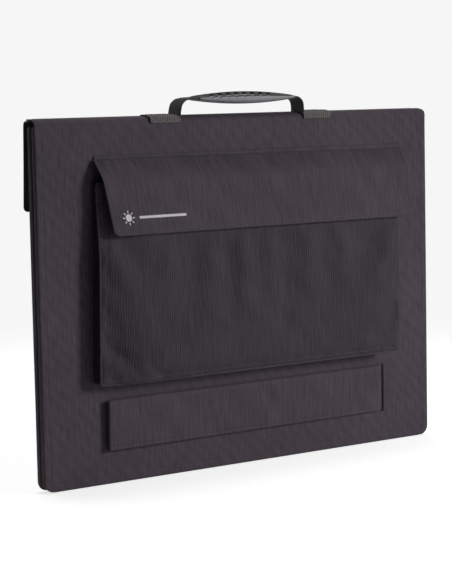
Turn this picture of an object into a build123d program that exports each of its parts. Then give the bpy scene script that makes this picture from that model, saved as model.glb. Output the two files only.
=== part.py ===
# Folding solar suitcase: two fabric-covered panel leaves hinged along the bottom edge.
#
# The case stands on its spine. X runs along the width, -Y is the side with the pocket, and
# +Z is up. The origin is the middle of the spine's flat underside. Sizes are millimetres.

import os

from build123d import *

os.makedirs("parts", exist_ok=True)

# ---- driving dimensions ----
case_width = 540.0
leaf_bottom = 8.0            # height of a leaf's lower edge
leaf_top = 391.0
leaf_thickness = 6.4
leaf_gap = 3.2               # air between the two sheets of cells
corner_radius = 11.0         # lower corners of a leaf
top_corner_radius = 3.0
fabric = 1.0                 # coated polyester cover
clearance = 0.3              # between pieces that move past each other
half_stack = leaf_thickness + leaf_gap / 2
leaf_height = leaf_top - leaf_bottom
leaf_middle = (leaf_top + leaf_bottom) / 2

board_thickness = 3.0        # twin-wall backing board
board_clearance = 0.2
backsheet_thickness = 0.6
cell_thickness = 0.3
ribbon_thickness = 0.2
film_thickness = 0.3
frame_thickness = 1.0
sheet_margin = 12.0          # laminate beyond the outermost cells
window_margin = 14.0

cell_width = 78.0            # a sixth of a 156 mm wafer
cell_height = 52.0
cell_gap = 3.0
cell_columns = 6
cell_rows = 6
ribbon_width = 1.6
bus_width = 5.0
ribbons_per_cell = 2
field_width = cell_columns * (cell_width + cell_gap) - cell_gap
field_height = cell_rows * (cell_height + cell_gap) - cell_gap

spine_half_length = 256.0
spine_wall = 1.2
spine_corner = 1.5           # the leaves press the fold nearly square
spine_inner_corner = 0.6

pocket_half_width = 206.0
pocket_bottom = 112.0
pocket_mouth = 330.0
pocket_bend = 250.0          # above this the front leans back towards the case
pocket_depth = 22.0
mouth_depth = 13.5
pocket_wall = 1.2
welt_width = 1.4
welt_depth = 2.4

flap_left = -201.0
flap_right = 230.0
flap_hinge_height = 352.0
flap_hem_height = 272.0
flap_thickness = 1.6
flap_taper = 9.0             # how far the left edge leans in by the hem
flap_cut_run = 20.0          # the clipped lower left corner
flap_cut_rise = 5.0

tape_thickness = 1.1         # hook and loop tapes
tape_low = 283.0
tape_high = 308.0
tape_half_length = 150.0

mark_x = -172.0
mark_height = 290.0
mark_radius = 8.0
mark_thickness = 0.25
mark_bar_offset = 14.0
mark_bar_length = 62.0

leg_left = -192.0
leg_right = 193.5
leg_bottom = 37.5
leg_top = 93.5
leg_thickness = 4.2
leg_wall = 0.8
leg_rest_gap = 0.4
leg_lift = 3.2               # how far the free end stands off the case
leg_taper = 8.0
leg_hinge_depth = 2.0        # from the case's face to the middle of the leg's hinge
leg_anchor_gap = 2.8
leg_anchor_width = 8.0
leg_anchor_thickness = 2.6
leg_loop_thickness = 1.6
leg_hook_thickness = 1.1
leg_tape_size = (50, 25)

closure_fabric = 1.6
closure_half_width = 269.0
tail_hem = 300.0
batten_width = 13.0
batten_thickness = 1.4

patch_thickness = 1.5
patch_left_start = -126.0
patch_left_end = -86.0
patch_right_start = 84.0
patch_right_end = 126.0
strap_width = 24.0
strap_thickness = 1.8
strap_middle = 3.0           # where the strap sits across the closing flap
strap_foot = 401.0
grip_left = -60.0
grip_right = 72.0
grip_width = 27.0
grip_round = 2.2


def plane_at(y):
    """The XZ plane at a given Y. Extruding from it goes towards -Y."""
    return Plane.XZ.offset(-y)


def profile_at(x):
    """The YZ plane at a given X. Extruding from it goes towards +X."""
    return Plane.YZ.offset(x)


def save(piece, name):
    piece.part.label = name
    export_step(piece.part, f"parts/{name}.step")
    print(f"{name:28s} {piece.part.volume / 1000:9.2f} cm3")


def plate(name, y_outer, y_inner, width, height, radius=0.5, centre=(0, leaf_middle)):
    """A flat rectangular sheet lying parallel to the case's face."""
    with BuildPart() as sheet:
        with BuildSketch(plane_at(max(y_outer, y_inner))):
            with Locations(centre):
                RectangleRounded(width, height, radius)
        extrude(amount=abs(y_outer - y_inner))
    save(sheet, name)


def band(name, points, thickness, x_low, x_high):
    """A strip of cloth with a bent section in YZ, running along X."""
    with BuildPart() as strip:
        with BuildSketch(profile_at(x_low)):
            with BuildLine() as spine_line:
                Polyline(*points)
            trace(spine_line.line, line_width=thickness)
        extrude(amount=x_high - x_low)
    save(strip, name)


# ---- the two leaves: cover, board, cells, film and inner frame ----
def leaf_outline(sketch, inset):
    """A leaf's outline, round at its lower corners and nearly square at the top."""
    with Locations((0, leaf_middle)):
        Rectangle(case_width - 2 * inset, leaf_height - 2 * inset)
    fillet(sketch.vertices().group_by(Axis.Y)[0], corner_radius - inset)
    fillet(sketch.vertices().group_by(Axis.Y)[-1], top_corner_radius - inset)


def leaf(side_name, side):
    outer = side * half_stack

    def depth(amount):
        return outer - side * amount

    with BuildPart() as cover:
        with BuildSketch(plane_at(max(outer, depth(leaf_thickness)))) as outline:
            leaf_outline(outline, 0)
        extrude(amount=leaf_thickness)
        with BuildSketch(plane_at(max(depth(fabric), depth(leaf_thickness)))) as inside:
            leaf_outline(inside, fabric)
        extrude(amount=leaf_thickness - fabric, mode=Mode.SUBTRACT)
    save(cover, f"{side_name}_cover")

    board_top = fabric + board_thickness
    sheet_top = board_top + backsheet_thickness
    cell_top = sheet_top + cell_thickness
    ribbon_top = cell_top + ribbon_thickness
    film_top = ribbon_top + film_thickness

    with BuildPart() as board:
        with BuildSketch(plane_at(max(depth(fabric), depth(board_top)))) as board_outline:
            leaf_outline(board_outline, fabric + board_clearance)
        extrude(amount=board_thickness)
    save(board, f"{side_name}_backing_board")

    sheet_size = (field_width + 2 * sheet_margin, field_height + 2 * sheet_margin)
    plate(f"{side_name}_backsheet", depth(board_top), depth(sheet_top), *sheet_size)

    with BuildPart() as cells:
        with BuildSketch(plane_at(max(depth(sheet_top), depth(cell_top)))):
            with Locations((0, leaf_middle)):
                with GridLocations(cell_width + cell_gap, cell_height + cell_gap, cell_columns, cell_rows):
                    Rectangle(cell_width, cell_height)
        extrude(amount=cell_thickness)
    save(cells, f"{side_name}_solar_cells")

    bus_offset = field_width / 2 + bus_width / 2 + 1.5
    with BuildPart() as ribbons:
        with BuildSketch(plane_at(max(depth(cell_top), depth(ribbon_top)))):
            with Locations((0, leaf_middle)):
                with GridLocations(1, cell_height + cell_gap, 1, cell_rows):
                    with GridLocations(1, cell_height / ribbons_per_cell, 1, ribbons_per_cell):
                        Rectangle(2 * bus_offset, ribbon_width)
                with GridLocations(2 * bus_offset, 1, 2, 1):
                    Rectangle(bus_width, field_height)
        extrude(amount=ribbon_thickness)
    save(ribbons, f"{side_name}_cell_ribbons")

    plate(f"{side_name}_top_film", depth(ribbon_top), depth(film_top), *sheet_size)

    with BuildPart() as frame:
        with BuildSketch(plane_at(max(depth(film_top), depth(leaf_thickness)))) as frame_outline:
            leaf_outline(frame_outline, fabric + board_clearance)
            with Locations((0, leaf_middle)):
                RectangleRounded(field_width + window_margin, field_height + window_margin, 4,
                                 mode=Mode.SUBTRACT)
        extrude(amount=frame_thickness)
    save(frame, f"{side_name}_inner_frame")


leaf("front", -1)
leaf("back", 1)

# ---- spine: the fabric fold that joins the leaves and that the case stands on ----
spine_top = leaf_bottom - clearance

with BuildPart() as spine:
    with BuildSketch(profile_at(-spine_half_length)) as spine_section:
        with Locations((0, spine_top / 2)):
            Rectangle(2 * half_stack, spine_top)
        chamfer(spine_section.vertices().group_by(Axis.Y)[0], spine_corner)
        with Locations((0, spine_top / 2 + spine_wall)):
            RectangleRounded(2 * (half_stack - spine_wall), spine_top, spine_inner_corner,
                             mode=Mode.SUBTRACT)
        with Locations((0, spine_top)):
            Rectangle(2 * (half_stack - spine_wall), spine_top, mode=Mode.SUBTRACT)
    extrude(amount=2 * spine_half_length)
save(spine, "spine_fabric")

# ---- pocket: a gusset on three sides, a front panel, a welt round the front seam ----
face = -half_stack
pocket_front = face - pocket_depth
mouth_front = face - mouth_depth


def pocket_section(grow):
    """The pocket seen from its side: deep below, leaning back to the case at its mouth."""
    return [
        (face, pocket_bottom),
        (pocket_front - grow, pocket_bottom),
        (pocket_front - grow, pocket_bend),
        (mouth_front - grow, pocket_mouth),
        (face, pocket_mouth),
    ]


with BuildPart() as gusset:
    with BuildSketch(profile_at(-pocket_half_width)):
        with BuildLine():
            Polyline(*pocket_section(0), close=True)
        make_face()
    extrude(amount=2 * pocket_half_width)
    inner_half = pocket_half_width - pocket_wall
    inner_height = pocket_mouth - pocket_bottom
    with BuildSketch(plane_at(face)):
        with Locations((0, pocket_bottom + pocket_wall + inner_height / 2)):
            Rectangle(2 * inner_half, inner_height)
    extrude(amount=pocket_depth, mode=Mode.SUBTRACT)
save(gusset, "pocket_gusset")

with BuildPart() as pocket_panel:
    with BuildSketch(profile_at(-pocket_half_width)):
        with BuildLine():
            Polyline(*pocket_section(pocket_wall), close=True)
        make_face()
        with BuildLine():
            Polyline(*pocket_section(0), close=True)
        make_face(mode=Mode.SUBTRACT)
    extrude(amount=2 * pocket_half_width)
save(pocket_panel, "pocket_front_panel")

with BuildPart() as welt:
    with BuildSketch(plane_at(pocket_front + welt_depth / 2)):
        with Locations((0, (pocket_bottom - welt_width + pocket_bend) / 2)):
            Rectangle(2 * (pocket_half_width + welt_width), pocket_bend - pocket_bottom + welt_width)
        with Locations((0, (pocket_bottom + pocket_bend) / 2)):
            Rectangle(2 * pocket_half_width, pocket_bend - pocket_bottom, mode=Mode.SUBTRACT)
    extrude(amount=welt_depth)
save(welt, "pocket_seam_welt")

# ---- pocket flap: one stiff fabric panel, with hook tape meeting the pocket's loop tape ----
flap_spine = [(face - 0.9, flap_hinge_height), (face - 17.2, 331.0), (face - 25.6, flap_hem_height)]

with BuildPart() as flap:
    with BuildSketch(profile_at(flap_left)):
        with BuildLine() as flap_line:
            Polyline(*flap_spine)
        trace(flap_line.line, line_width=flap_thickness)
    extrude(amount=flap_right - flap_left)
    with BuildSketch(plane_at(0)):
        with BuildLine():
            Polyline(
                (flap_left, flap_hinge_height + 5),
                (flap_left + flap_taper, flap_hem_height + flap_cut_rise),
                (flap_left + flap_taper + flap_cut_run, flap_hem_height - 1),
                (flap_right - flap_taper / 3, flap_hem_height - 1),
                (flap_right, flap_hinge_height + 5),
                close=True,
            )
        make_face()
    extrude(amount=3 * pocket_depth, mode=Mode.INTERSECT)
save(flap, "pocket_flap_panel")

hook_line = [(face - 22.65, tape_low), (face - 19.08, tape_high)]
loop_line = [(face - 20.3, tape_low), (face - 17.65, tape_high)]
band("pocket_hook_tape", hook_line, tape_thickness, -tape_half_length, tape_half_length)
band("pocket_loop_tape", loop_line, tape_thickness, -tape_half_length, tape_half_length)

flap_fold, flap_hem = flap_spine[1], flap_spine[2]
flap_run = flap_fold[1] - flap_hem[1]
flap_lean = flap_fold[0] - flap_hem[0]
mark_depth = flap_hem[0] + flap_lean * (mark_height - flap_hem[1]) / flap_run
mark_plane = Plane(
    origin=(mark_x, mark_depth - flap_thickness / 2 - 0.02, mark_height),
    x_dir=(1, 0, 0),
    z_dir=(0, -flap_run, flap_lean),
)
with BuildPart() as mark:
    with BuildSketch(mark_plane):
        Circle(mark_radius * 0.5)
        with PolarLocations(mark_radius * 0.8, 8):
            Rectangle(mark_radius * 0.3, 1.2)
        with Locations((mark_bar_offset + mark_bar_length / 2, 0)):
            SlotOverall(mark_bar_length, 2.4)
    extrude(amount=mark_thickness)
save(mark, "pocket_flap_mark")

# ---- support legs: a board in a fabric sleeve, sewn down at one end ----
leg_middle = (leg_top + leg_bottom) / 2
leg_height = leg_top - leg_bottom


def leg_plan(side, inset):
    """The leg seen from above, thin at its hinge and standing off the case at its free end."""
    near = side * (half_stack + leg_rest_gap)
    root = side * (half_stack + leg_hinge_depth)
    tip = near + side * leg_lift
    return [
        (leg_right, root - side * 0.8),
        (leg_right - leg_taper, near + side * inset),
        (leg_left + inset, tip + side * inset),
        (leg_left + inset, tip + side * (leg_thickness - inset)),
        (leg_right - leg_taper, near + side * (leg_thickness - inset)),
        (leg_right, root + side * 0.8),
    ]


def leg(side_name, side):
    inner_plan = leg_plan(side, leg_wall)[1:5]
    with BuildPart() as sleeve:
        with BuildSketch(Plane.XY.offset(leg_bottom)):
            with BuildLine():
                Polyline(*leg_plan(side, 0), close=True)
            make_face()
        extrude(amount=leg_height)
        with BuildSketch(Plane.XY.offset(leg_bottom + leg_wall)):
            with BuildLine():
                Polyline(*inner_plan, close=True)
            make_face()
        extrude(amount=leg_height - 2 * leg_wall, mode=Mode.SUBTRACT)
    save(sleeve, f"{side_name}_leg_sleeve")

    with BuildPart() as stay:
        with BuildSketch(Plane.XY.offset(leg_bottom + leg_wall)):
            with BuildLine():
                Polyline(*inner_plan, close=True)
            make_face()
        extrude(amount=leg_height - 2 * leg_wall)
    save(stay, f"{side_name}_leg_board")

    anchor_centre = (leg_right + leg_anchor_gap + leg_anchor_width / 2, leg_middle)
    anchor_face = side * half_stack
    plate(f"{side_name}_leg_anchor", anchor_face, anchor_face + side * leg_anchor_thickness,
          leg_anchor_width, leg_height, centre=anchor_centre)

    tape_centre = (leg_left + 40, leg_middle)
    plate(f"{side_name}_leg_loop_tape", anchor_face, anchor_face + side * leg_loop_thickness,
          *leg_tape_size, centre=tape_centre)
    plate(f"{side_name}_leg_hook_tape", anchor_face + side * (leg_loop_thickness + clearance),
          anchor_face + side * (leg_loop_thickness + clearance + leg_hook_thickness),
          *leg_tape_size, centre=tape_centre)


leg("front", -1)
leg("back", 1)

# ---- closing flap: a strip over the top edge and a tail hanging behind ----
closure_line = [(-8.2, 392.6), (-5.4, 395.8), (1.5, 397.6), (9.5, 397.8), (13.8, 395.4)]
patch_line = [(-10.0, 393.4), (-6.6, 397.3), (1.2, 399.25), (9.9, 399.45), (14.9, 396.8)]
tail_line = [(15.0, 394.0), (20.6, tail_hem)]
band("closure_top_strip", closure_line, closure_fabric, -closure_half_width, closure_half_width)
band("closure_tail_panel", tail_line, closure_fabric, -closure_half_width, closure_half_width)

with BuildPart() as batten:
    with BuildSketch(Plane.XY.offset(leaf_top + 1.6)):
        with Locations((0, strap_middle)):
            RectangleRounded(2 * closure_half_width - 20, batten_width, 3)
    extrude(amount=batten_thickness)
save(batten, "closure_batten")

tail_tape_line = [(18.1, tail_hem + 18), (16.9, tail_hem + 38)]
band("closure_hook_tape", tail_tape_line, tape_thickness, -tape_half_length, tape_half_length)
plate("closure_loop_tape", half_stack, half_stack + tape_thickness, 2 * tape_half_length, 20,
      centre=(0, tail_hem + 28))

# ---- handle: a webbing strap through a moulded grip, held by two sewn patches ----
band("handle_patch_left", patch_line, patch_thickness, patch_left_start, patch_left_end)
band("handle_patch_right", patch_line, patch_thickness, patch_right_start, patch_right_end)

strap_path = [
    (patch_left_end - 1.5, strap_foot),
    (patch_left_end - 1.0, 415.0),
    (grip_left, 417.0),
    (0, 419.2),
    (grip_right, 416.2),
    (patch_right_start + 1.6, 414.0),
    (patch_right_start + 1.0, strap_foot),
]
strap_plane = plane_at(strap_middle + strap_width / 2)

with BuildPart() as strap:
    with BuildSketch(strap_plane):
        with BuildLine() as strap_line:
            FilletPolyline(*strap_path, radius=6)
        trace(strap_line.line, line_width=strap_thickness)
    extrude(amount=strap_width)
save(strap, "handle_webbing")

with BuildPart() as grip:
    with BuildSketch(plane_at(strap_middle + grip_width / 2)):
        with BuildLine():
            upper = ThreePointArc((grip_left, 419.0), (6, 423.4), (grip_right, 418.4))
            Line(upper @ 1, (grip_right, 413.6))
            lower = ThreePointArc((grip_right, 413.6), (6, 409.2), (grip_left, 414.2))
            Line(lower @ 1, upper @ 0)
        make_face()
    extrude(amount=grip_width)
    fillet(grip.edges().filter_by(GeomType.CIRCLE), grip_round)
    with BuildSketch(plane_at(strap_middle + strap_width / 2 + 0.2)):
        with BuildLine() as bore_line:
            FilletPolyline(*strap_path, radius=6)
        trace(bore_line.line, line_width=strap_thickness + 0.02)
    extrude(amount=strap_width + 0.4, mode=Mode.SUBTRACT)
save(grip, "handle_grip")

# ---- junction box in the pocket: base, lid, glands and bypass diodes ----
box_x, box_z = -150.0, 152.0
box_width, box_height = 70.0, 46.0
box_base_depth = 9.0
box_lid_depth = 4.0

with BuildPart() as box_base:
    with BuildSketch(plane_at(face)):
        with Locations((box_x, box_z)):
            RectangleRounded(box_width, box_height, 3)
    extrude(amount=box_base_depth)
    with BuildSketch(plane_at(face - 1.5)):
        with Locations((box_x, box_z)):
            RectangleRounded(box_width - 4, box_height - 4, 2)
    extrude(amount=box_base_depth, mode=Mode.SUBTRACT)
save(box_base, "junction_box_base")

with BuildPart() as box_lid:
    with BuildSketch(plane_at(face - box_base_depth)):
        with Locations((box_x, box_z)):
            RectangleRounded(box_width, box_height, 3)
    extrude(amount=box_lid_depth)
    chamfer(box_lid.faces().sort_by(Axis.Y)[0].edges(), 1.2)
save(box_lid, "junction_box_lid")

with BuildPart() as diodes:
    with BuildSketch(Plane.YZ.offset(box_x - 15)):
        with Locations((face - 5, box_z - 9), (face - 5, box_z + 9)):
            Circle(2.6)
    extrude(amount=30)
save(diodes, "bypass_diodes")

with BuildPart() as glands:
    with BuildSketch(Plane.YZ.offset(box_x + box_width / 2)):
        with Locations((face - 5.5, box_z - 10), (face - 5.5, box_z + 10)):
            RegularPolygon(radius=4.9, side_count=6)
            Circle(2.2, mode=Mode.SUBTRACT)
    extrude(amount=12)
save(glands, "cable_glands")

# ---- charge controller in the pocket ----
controller_x, controller_z = 110.0, 156.0
controller_width, controller_height = 104.0, 68.0
case_depth = 12.0
lid_depth = 4.0
case_wall = 2.0
case_back = face
case_front = face - case_depth
lid_front = case_front - lid_depth
screw_spread = (controller_width - 9, controller_height - 9)
buttons = {"menu": controller_x + 18, "load": controller_x + 34}
button_height = controller_z + 6
button_radius = 3.6
button_travel = 0.8
display_size = (34, 18)
display_place = (controller_x - 20, controller_z + 8)
terminal_count = 6
terminal_pitch = 9.0
terminal_height = 10.4
terminal_z = controller_z - controller_height / 2 + case_wall + 0.2 + terminal_height / 2

with BuildPart() as controller_case:
    with BuildSketch(plane_at(case_back)):
        with Locations((controller_x, controller_z)):
            RectangleRounded(controller_width, controller_height, 4)
    extrude(amount=case_depth)
    with BuildSketch(plane_at(case_back - case_wall)):
        with Locations((controller_x, controller_z)):
            RectangleRounded(controller_width - 2 * case_wall, controller_height - 2 * case_wall, 3)
            with GridLocations(*screw_spread, 2, 2):
                Rectangle(7, 7, mode=Mode.SUBTRACT)
    extrude(amount=case_depth, mode=Mode.SUBTRACT)
    with BuildSketch(plane_at(case_front)):
        with Locations((controller_x, controller_z)):
            with GridLocations(*screw_spread, 2, 2):
                Circle(1.1)
    extrude(amount=-8, mode=Mode.SUBTRACT)
save(controller_case, "controller_case")

with BuildPart() as controller_board:
    with BuildSketch(plane_at(case_back - 5)):
        with Locations((controller_x, controller_z)):
            Rectangle(controller_width - 2 * case_wall - 2, controller_height - 2 * case_wall - 2)
            with GridLocations(*screw_spread, 2, 2):
                Rectangle(8, 8, mode=Mode.SUBTRACT)
    extrude(amount=1.6)
save(controller_board, "controller_board")

with BuildPart() as controller_lid:
    with BuildSketch(plane_at(case_front)):
        with Locations((controller_x, controller_z)):
            RectangleRounded(controller_width, controller_height, 4)
    extrude(amount=lid_depth)
    chamfer(controller_lid.faces().sort_by(Axis.Y)[0].edges(), 1.0)
    with BuildSketch(plane_at(case_front)):
        with Locations(*[(x, button_height) for x in buttons.values()]):
            Circle(button_radius + 0.3)
        with Locations(display_place):
            Rectangle(*display_size)
        with Locations((controller_x, controller_z)):
            with GridLocations(*screw_spread, 2, 2):
                Circle(1.3)
    extrude(amount=lid_depth, mode=Mode.SUBTRACT)
    with BuildSketch(plane_at(lid_front)):
        with Locations((controller_x, controller_z)):
            with GridLocations(*screw_spread, 2, 2):
                Circle(2.6)
    extrude(amount=-1.8, mode=Mode.SUBTRACT)
    with BuildSketch(plane_at(lid_front)):
        with Locations((controller_x, terminal_z)):
            Rectangle(terminal_count * terminal_pitch, terminal_height + 0.4)
    extrude(amount=-2 * lid_depth, mode=Mode.SUBTRACT)
save(controller_lid, "controller_lid")

plate("controller_display", case_front - 2.4, case_front, *display_size, radius=0.3,
      centre=display_place)

with BuildPart() as lid_screws:
    with BuildSketch(plane_at(lid_front + 0.3)):
        with Locations((controller_x, controller_z)):
            with GridLocations(*screw_spread, 2, 2):
                Circle(2.4)
    extrude(amount=-1.5)
    with BuildSketch(plane_at(lid_front + 1.8)):
        with Locations((controller_x, controller_z)):
            with GridLocations(*screw_spread, 2, 2):
                Circle(1.0)
    extrude(amount=-7)
    with BuildSketch(plane_at(lid_front + 0.3)):
        with Locations((controller_x, controller_z)):
            with GridLocations(*screw_spread, 2, 2):
                Rectangle(2.6, 0.6)
                Rectangle(0.6, 2.6)
    extrude(amount=-0.8, mode=Mode.SUBTRACT)
save(lid_screws, "controller_lid_screws")

with BuildPart() as terminals:
    with BuildSketch(plane_at(case_back - 6.6)):
        with Locations((controller_x, terminal_z)):
            Rectangle(terminal_count * terminal_pitch - 0.4, terminal_height)
    extrude(amount=lid_front - case_back + 6.6, dir=(0, 1, 0))
    with BuildSketch(plane_at(lid_front)):
        with Locations((controller_x, terminal_z)):
            with GridLocations(terminal_pitch, 1, terminal_count, 1):
                Circle(2.6)
    extrude(amount=-3, mode=Mode.SUBTRACT)
save(terminals, "controller_terminal_block")

with BuildPart() as terminal_screws:
    with BuildSketch(plane_at(lid_front + 1.0)):
        with Locations((controller_x, terminal_z)):
            with GridLocations(terminal_pitch, 1, terminal_count, 1):
                Circle(2.4)
    extrude(amount=-2)
    with BuildSketch(plane_at(lid_front + 1.0)):
        with Locations((controller_x, terminal_z)):
            with GridLocations(terminal_pitch, 1, terminal_count, 1):
                Rectangle(3.8, 0.8)
    extrude(amount=-0.9, mode=Mode.SUBTRACT)
save(terminal_screws, "controller_terminal_screws")

for label, x in buttons.items():
    with BuildPart() as button:
        with BuildSketch(plane_at(lid_front - 0.9)):
            with Locations((x, button_height)):
                Circle(button_radius)
        extrude(amount=-5.4)
        chamfer(button.faces().sort_by(Axis.Y)[0].edges(), 0.5)
        with BuildSketch(plane_at(case_front + 0.5)):
            with Locations((x, button_height)):
                Circle(button_radius + 1.0)
        extrude(amount=-1.0)
    save(button, f"controller_{label}_button")
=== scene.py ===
import math

import bmesh
import bpy
import numpy as np
from mathutils import Matrix, Vector


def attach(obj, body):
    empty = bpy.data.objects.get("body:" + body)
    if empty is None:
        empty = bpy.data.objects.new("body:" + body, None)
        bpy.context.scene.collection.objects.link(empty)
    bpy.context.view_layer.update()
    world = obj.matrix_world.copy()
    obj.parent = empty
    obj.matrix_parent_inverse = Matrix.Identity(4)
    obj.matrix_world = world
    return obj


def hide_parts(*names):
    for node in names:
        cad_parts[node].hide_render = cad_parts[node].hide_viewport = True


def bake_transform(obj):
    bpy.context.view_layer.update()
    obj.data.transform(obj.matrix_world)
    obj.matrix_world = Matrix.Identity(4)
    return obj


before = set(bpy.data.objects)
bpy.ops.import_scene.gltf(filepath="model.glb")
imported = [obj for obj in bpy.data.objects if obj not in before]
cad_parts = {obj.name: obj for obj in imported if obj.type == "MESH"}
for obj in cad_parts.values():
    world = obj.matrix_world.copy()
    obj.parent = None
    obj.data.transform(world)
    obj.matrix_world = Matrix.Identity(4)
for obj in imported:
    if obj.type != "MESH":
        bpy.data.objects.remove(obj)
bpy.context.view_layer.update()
scene = bpy.context.scene
mm = 0.001
print("frame loaded")


# colours and materials

def toLinear(code):
    channels = [int(code[i:i + 2], 16) / 255 for i in (1, 3, 5)]
    return [c / 12.92 if c <= 0.04045 else ((c + 0.055) / 1.055) ** 2.4 for c in channels] + [1.0]


def addNode(material, kind, values=None, links=None, **settings):
    node = material.node_tree.nodes.new(kind)
    for name, value in settings.items():
        setattr(node, name, value)
    for socket, value in (values or {}).items():
        node.inputs[socket].default_value = value
    for socket, source in (links or {}).items():
        material.node_tree.links.new(source, node.inputs[socket])
    return node


def startMaterial(name, values):
    material = bpy.data.materials.new(name)
    material.use_nodes = True
    material.node_tree.nodes.clear()
    shader = addNode(material, "ShaderNodeBsdfPrincipled", values)
    addNode(material, "ShaderNodeOutputMaterial", links={"Surface": shader.outputs[0]})
    return material, shader


def plug(material, shader, **sources):
    for socket, source in sources.items():
        material.node_tree.links.new(source, shader.inputs[socket.replace("_", " ")])


def waveScale(periodMm):
    return math.pi / 10 / (periodMm * mm)  # a wave texture turns 20 times per unit of scale


# polyester cloth, woven from textured yarn and coated on the back: dull, with a fine upright rib
def wovenCloth(name, cloth):
    material, shader = startMaterial(name, {
        "Roughness": 0.8, "Specular IOR Level": 0.3, "Sheen Weight": cloth["sheen"],
        "Sheen Roughness": 0.45, "Sheen Tint": toLinear("#b9b2b9")})
    place = addNode(material, "ShaderNodeUVMap", uv_map="weave").outputs[0]
    # yarns of uneven thickness run up the cloth, so its ribs are streaks and not ruled lines
    upright = addNode(material, "ShaderNodeMapping", {"Scale": (1, 0.09, 1)}, {"Vector": place})
    streak = addNode(material, "ShaderNodeTexNoise", {
        "Scale": 1 / (cloth["ribPitch"] * mm), "Detail": 3.0, "Roughness": 0.55, "Distortion": 0.25},
        {"Vector": upright.outputs[0]})
    rib = addNode(material, "ShaderNodeTexWave", {
        "Scale": waveScale(cloth["ribPitch"]), "Distortion": 2.4, "Detail": 2.0, "Detail Scale": 0.5},
        {"Vector": place}, bands_direction="X")
    level = addNode(material, "ShaderNodeMapping", {"Scale": (0.2, 1, 1)}, {"Vector": place})
    pick = addNode(material, "ShaderNodeTexNoise", {
        "Scale": 1 / (cloth["pickPitch"] * mm), "Detail": 3.0, "Roughness": 0.6},
        {"Vector": level.outputs[0]})
    # a faint diagonal drift of tone, where the two threads fall in and out of step
    drift = addNode(material, "ShaderNodeTexWave", {
        "Scale": waveScale(cloth["driftPitch"]), "Distortion": 3.0, "Detail": 1.0, "Detail Scale": 0.3},
        {"Vector": place}, bands_direction="DIAGONAL")
    cloud = addNode(material, "ShaderNodeTexNoise", {"Scale": 1 / (110 * mm), "Detail": 3.0},
                    {"Vector": place})
    weave = addNode(material, "ShaderNodeMath", {1: cloth["ribShare"]}, {0: rib.outputs["Fac"]},
                    operation="MULTIPLY")
    for share, source in ((1 - cloth["ribShare"], streak), (0.45, pick)):
        weave = addNode(material, "ShaderNodeMath", {1: share},
                        {0: source.outputs["Fac"], 2: weave.outputs[0]}, operation="MULTIPLY_ADD")
    tone = weave
    for share, source in ((cloth["driftShare"], drift), (0.3, cloud)):
        tone = addNode(material, "ShaderNodeMath", {1: share},
                       {0: source.outputs["Fac"], 2: tone.outputs[0]}, operation="MULTIPLY_ADD")
    middle = 0.5 * (1 + 0.45 + 0.3 + cloth["driftShare"])
    level = addNode(material, "ShaderNodeMapRange", {"From Min": middle - 0.31, "From Max": middle + 0.31},
                    {"Value": tone.outputs[0]})
    ramp = addNode(material, "ShaderNodeValToRGB", links={"Fac": level.outputs[0]})
    ramp.color_ramp.elements[0].color = toLinear(cloth["shade"])
    ramp.color_ramp.elements[1].color = toLinear(cloth["thread"])
    rough = addNode(material, "ShaderNodeMapRange", {"From Min": 0.3, "From Max": 0.7, "To Min": 0.7,
                                                     "To Max": 0.86}, {"Value": pick.outputs["Fac"]})
    crease = addNode(material, "ShaderNodeBump", {"Strength": 0.4, "Distance": 1.5 * mm},
                     {"Height": cloud.outputs["Fac"]})
    bump = addNode(material, "ShaderNodeBump", {"Strength": cloth["bump"], "Distance": 0.4 * mm},
                   {"Height": weave.outputs[0], "Normal": crease.outputs[0]})
    plug(material, shader, Base_Color=ramp.outputs[0], Roughness=rough.outputs[0], Normal=bump.outputs[0])
    return material


# the ribs are drawn 2 to 3 mm apart; real yarn, assumed under 1 mm, is too fine to show at this size
panelCloth = wovenCloth("coatedPolyesterPanel", {
    "shade": "#352d35", "thread": "#534a53", "ribPitch": 2.2, "pickPitch": 1.7, "ribShare": 0.14,
    "driftPitch": 9, "driftShare": 0.1, "bump": 0.6, "sheen": 0.12})
# the flap, legs and pocket piping, drawn as a heavier cloth so that their ribs stand out more
caseCloth = wovenCloth("coatedPolyesterHeavy", {
    "shade": "#2e272e", "thread": "#554c55", "ribPitch": 2.8, "pickPitch": 2.0, "ribShare": 0.28,
    "driftPitch": 26, "driftShare": 0.05, "bump": 0.6, "sheen": 0.12})
# chosen shades, not a different dye: painted shade on the pocket front for the flap's shadow, painted shadow
# on the gusset for the dark beside the pocket, and painted light on the borders, standing in for light that
# the lamps alone don't give
pocketClothPaintedShade = wovenCloth("coatedPolyesterPocketPaintedShade", {
    "shade": "#231e23", "thread": "#463e46", "ribPitch": 2.8, "pickPitch": 2.0, "ribShare": 0.3,
    "driftPitch": 26, "driftShare": 0.05, "bump": 0.6, "sheen": 0.1})
# painted shadow: the gusset is coloured near black for the deep shadow that falls on it
gussetClothPaintedShadow = wovenCloth("coatedPolyesterGussetPaintedShadow", {
    "shade": "#141116", "thread": "#2a252b", "ribPitch": 2.8, "pickPitch": 2.0, "ribShare": 0.3,
    "driftPitch": 26, "driftShare": 0.05, "bump": 0.4, "sheen": 0.06})
# painted light: the border cloth is lifted lighter to stand for light falling on the case's sides
borderClothPaintedLight = wovenCloth("coatedPolyesterBorderPaintedLight", {
    "shade": "#383238", "thread": "#5e565e", "ribPitch": 3.0, "pickPitch": 2.0, "ribShare": 0.4,
    "driftPitch": 26, "driftShare": 0.05, "bump": 0.4, "sheen": 0.1})


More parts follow.
